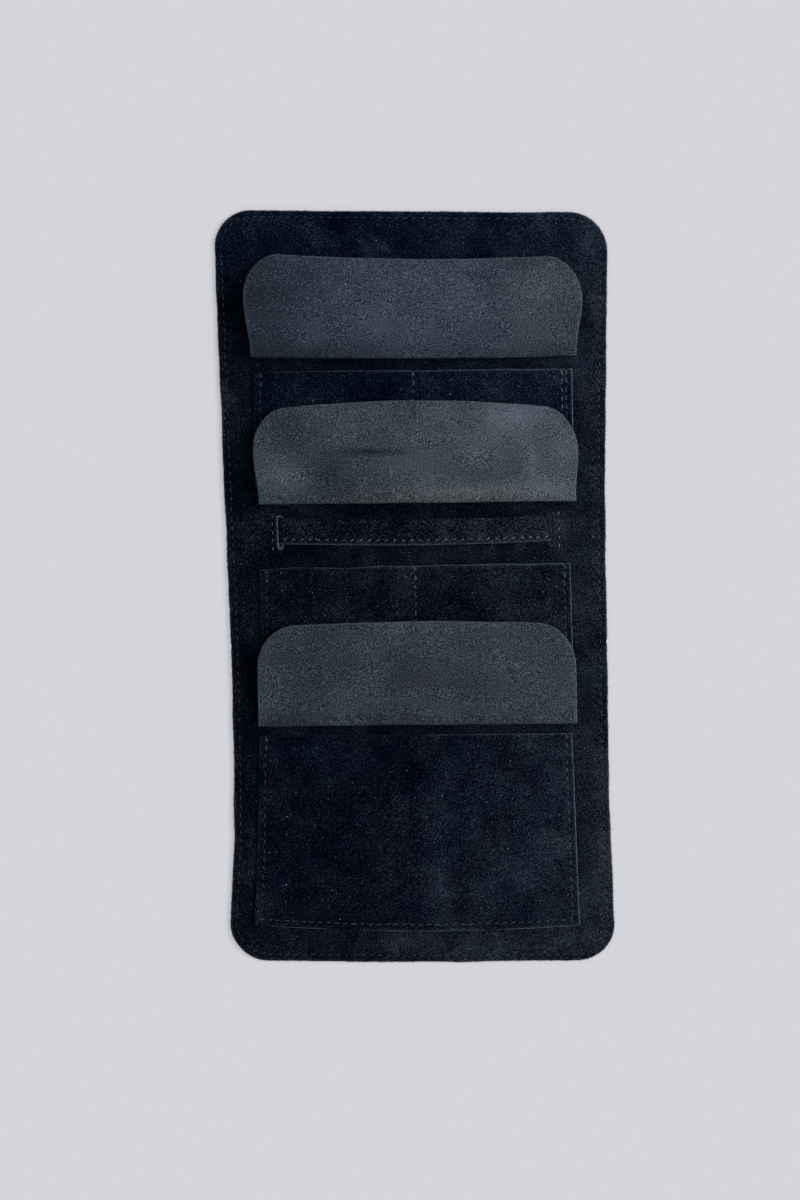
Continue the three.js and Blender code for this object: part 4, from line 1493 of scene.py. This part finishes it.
def makeFlap(name, cut):
    rootLow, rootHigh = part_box(cut["node"] + "_root")
    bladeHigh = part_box(cut["node"])[1]
    hingeZ = hinge[cut["node"] + "_hinge"].z
    rows, length = flapRows(cut, rootLow, rootHigh, bladeHigh, hingeZ)
    across = np.linspace(-1, 1, math.ceil(2 * bladeHigh.x / flap["columnStep"]) + 1)
    heading = np.gradient(rows[:, :2], axis=0)
    heading /= np.linalg.norm(heading, axis=1)[:, None]
    u = np.tile(across, len(rows))
    y, z, half, out = (np.repeat(rows[:, k], len(across)) for k in range(4))
    share = out / length
    # cut and folded by hand: neither the sides nor the fold are quite straight
    sway = flap["sway"] * relief(np.column_stack([y, np.sign(u)]), flap["swaySize"], cut["seed"])
    foldLine = np.column_stack([u * half, np.zeros(len(u))])
    waver = flap["waver"] * relief(foldLine, flap["waverSize"], cut["seed"] + share)
    spot = np.column_stack([
        u * half + sway * np.abs(u) ** flap["swayPower"],
        y + waver - cut["crown"] * (u * share) ** 2 - cut["bow"] * (1 - u * u),
    ])
    onBlade = smooth(out / flap["bladeStart"])
    z = z + cut["arch"] * np.sin(np.pi * share) - cut["droop"] * share ** flap["droopPower"]
    z = z + flap["ripple"] * relief(spot, flap["rippleSize"], cut["seed"]) * onBlade
    local = np.column_stack([spot[:, 0], out])
    for crease in cut["creases"]:
        z = z + creaseDepth(local, crease) * onBlade
    headingY, headingZ = (np.repeat(heading[:, k], len(across)) for k in range(2))
    normal = np.column_stack([np.zeros(len(u)), -headingZ, headingY])
    middle = np.column_stack([spot[:, 0] + cut["shift"] + cut["skew"] * share, spot[:, 1], z])
    top = layDown(middle + normal * flap["thickness"] / 2)
    under = layDown(middle - normal * flap["thickness"] / 2)
    quads = gridQuads(len(rows), len(across))
    finishes = (flapGrain, flapSuede, cutEdge)
    painting = {
        "toneShift": napAndLightMarks(local, cut["marks"]),
        "cast": cut["warmth"] + napAndLightMarks(local, cut["warmMarks"]),
    }
    piece, loops = buildSheet(name, top, under, quads, flap["rim"], finishes, **painting)
    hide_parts(cut["node"] + "_root", cut["node"])
    loose = roughen(name + "Fuzz", loops, "flap_suede", greyNap, **flap["fuzz"])
    for turning in (piece, loose):
        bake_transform(turning)
    ends = rootHigh.x - flap["seamEnds"]
    places = stepped([-ends, ends], flap["seamStep"])
    seamY = np.full(len(places), rootHigh.y - flap["seamFromBandEnd"])
    seamZ = np.full(len(places), liningTop + flap["gap"] + flap["thickness"])
    path = layDown(np.column_stack([places + cut["shift"], seamY, seamZ])) + threadLift
    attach(sew(name + "Seam", [path], "flap_root_suede", **flap["seam"]), cut["section"])


for name, cut in flaps.items():
    makeFlap(name, cut)
print("flaps made:", len(flaps))


# Floor, light and camera

stage = {
    "floorColour": shade(214, 213, 220),
    "floorReach": 6,
    "floorZ": -0.1 * mm,
    "floorRoughness": 0.9,
    "floorSpecular": 0.05,
    "evenFloor": 0.65,
    # strength, size of the light, height above the horizon, where it stands; angles in degrees
    "lights": {"window": (2.5, 34, 42, 8), "fill": (0.6, 60, 40, -80)},
    "worldStrength": 0.35,
    "worldColour": (0.96, 0.98, 1, 1),
}


def mixedShaders(tree, factor, first, second):
    return addNode(tree, "ShaderNodeMixShader", {}, {0: factor, 1: first, 2: second})


def seenDirectly(tree):  # 1 where the camera looks, also by way of something glossy or clear
    rays = addNode(tree, "ShaderNodeLightPath", {}, {}, None).outputs
    shown = calculate(tree, "MAXIMUM", rays["Is Camera Ray"], rays["Is Glossy Ray"])
    return calculate(tree, "MAXIMUM", shown, rays["Is Transmission Ray"])


floorMesh = bpy.data.meshes.new("floor")
corners = [(-1, -1), (1, -1), (1, 1), (-1, 1)]
reach = stage["floorReach"]
floorMesh.from_pydata([(x * reach, y * reach, stage["floorZ"]) for x, y in corners], [], [(0, 1, 2, 3)])
floor = addObject("floor", floorMesh)
floorFinish = bpy.data.materials.new("paleFloor")
floorFinish.use_nodes = True
floorTree = floorFinish.node_tree
floorShader = floorTree.nodes["Principled BSDF"]
floorShader.inputs["Base Color"].default_value = stage["floorColour"]
floorShader.inputs["Roughness"].default_value = stage["floorRoughness"]
floorShader.inputs["Specular IOR Level"].default_value = stage["floorSpecular"]
# the paper under the wrap is so evenly lit that only a trace of the shadow shows
evenLight = addNode(floorTree, "ShaderNodeEmission", {}, {"Color": stage["floorColour"]})
evenShare = calculate(floorTree, "MULTIPLY", seenDirectly(floorTree), stage["evenFloor"])
floorLook = mixedShaders(floorTree, evenShare, floorShader.outputs["BSDF"], evenLight)
floorTree.links.new(floorLook, floorTree.nodes["Material Output"].inputs["Surface"])
floorMesh.materials.append(floorFinish)

for name, (strength, *angles) in stage["lights"].items():
    breadth, tilt, heading = (math.radians(angle) for angle in angles)
    sun = bpy.data.lights.new(name, "SUN")
    sun.energy = strength
    sun.angle = breadth
    lamp = addObject(name, sun)
    level = math.cos(tilt)
    towards = Vector((math.cos(heading) * level, math.sin(heading) * level, math.sin(tilt)))
    lamp.rotation_mode = "QUATERNION"
    lamp.rotation_quaternion = towards.to_track_quat("Z", "Y")

world = bpy.data.worlds.new("studio")
bpy.context.scene.world = world
world.use_nodes = True
worldTree = world.node_tree
ambient = worldTree.nodes["Background"]
ambient.inputs["Color"].default_value = stage["worldColour"]
ambient.inputs["Strength"].default_value = stage["worldStrength"]
backdrop = addNode(worldTree, "ShaderNodeBackground", {}, {"Color": stage["floorColour"]})
sky = mixedShaders(worldTree, seenDirectly(worldTree), ambient.outputs["Background"], backdrop)
worldTree.links.new(sky, worldTree.nodes["World Output"].inputs["Surface"])

# the photograph's size in pixels, the size of one, where the middle of the wrap lies in it, and its roll
shot = {
    "size": (800, 1200),
    "pixel": 0.5175 * mm,
    "middleAt": (416.2, 585.6),
    "roll": 0.92,
    "distance": 1.7,
    "sensor": 36,
}
camera = bpy.data.cameras.new("camera")
camera.sensor_width = shot["sensor"]
camera.lens = shot["sensor"] * shot["distance"] / (shot["size"][1] * shot["pixel"])
view = addObject("camera", camera)
roll = math.radians(-shot["roll"])
offX = (shot["middleAt"][0] - shot["size"][0] / 2) * shot["pixel"]
offY = (shot["size"][1] / 2 - shot["middleAt"][1]) * shot["pixel"]
view.location = (
    -offX * math.cos(roll) + offY * math.sin(roll),
    -offX * math.sin(roll) - offY * math.cos(roll),
    shot["distance"],
)
view.rotation_euler = (0, 0, roll)
bpy.context.scene.camera = view
bpy.context.scene.view_settings.view_transform = "Standard"
print("stage set")
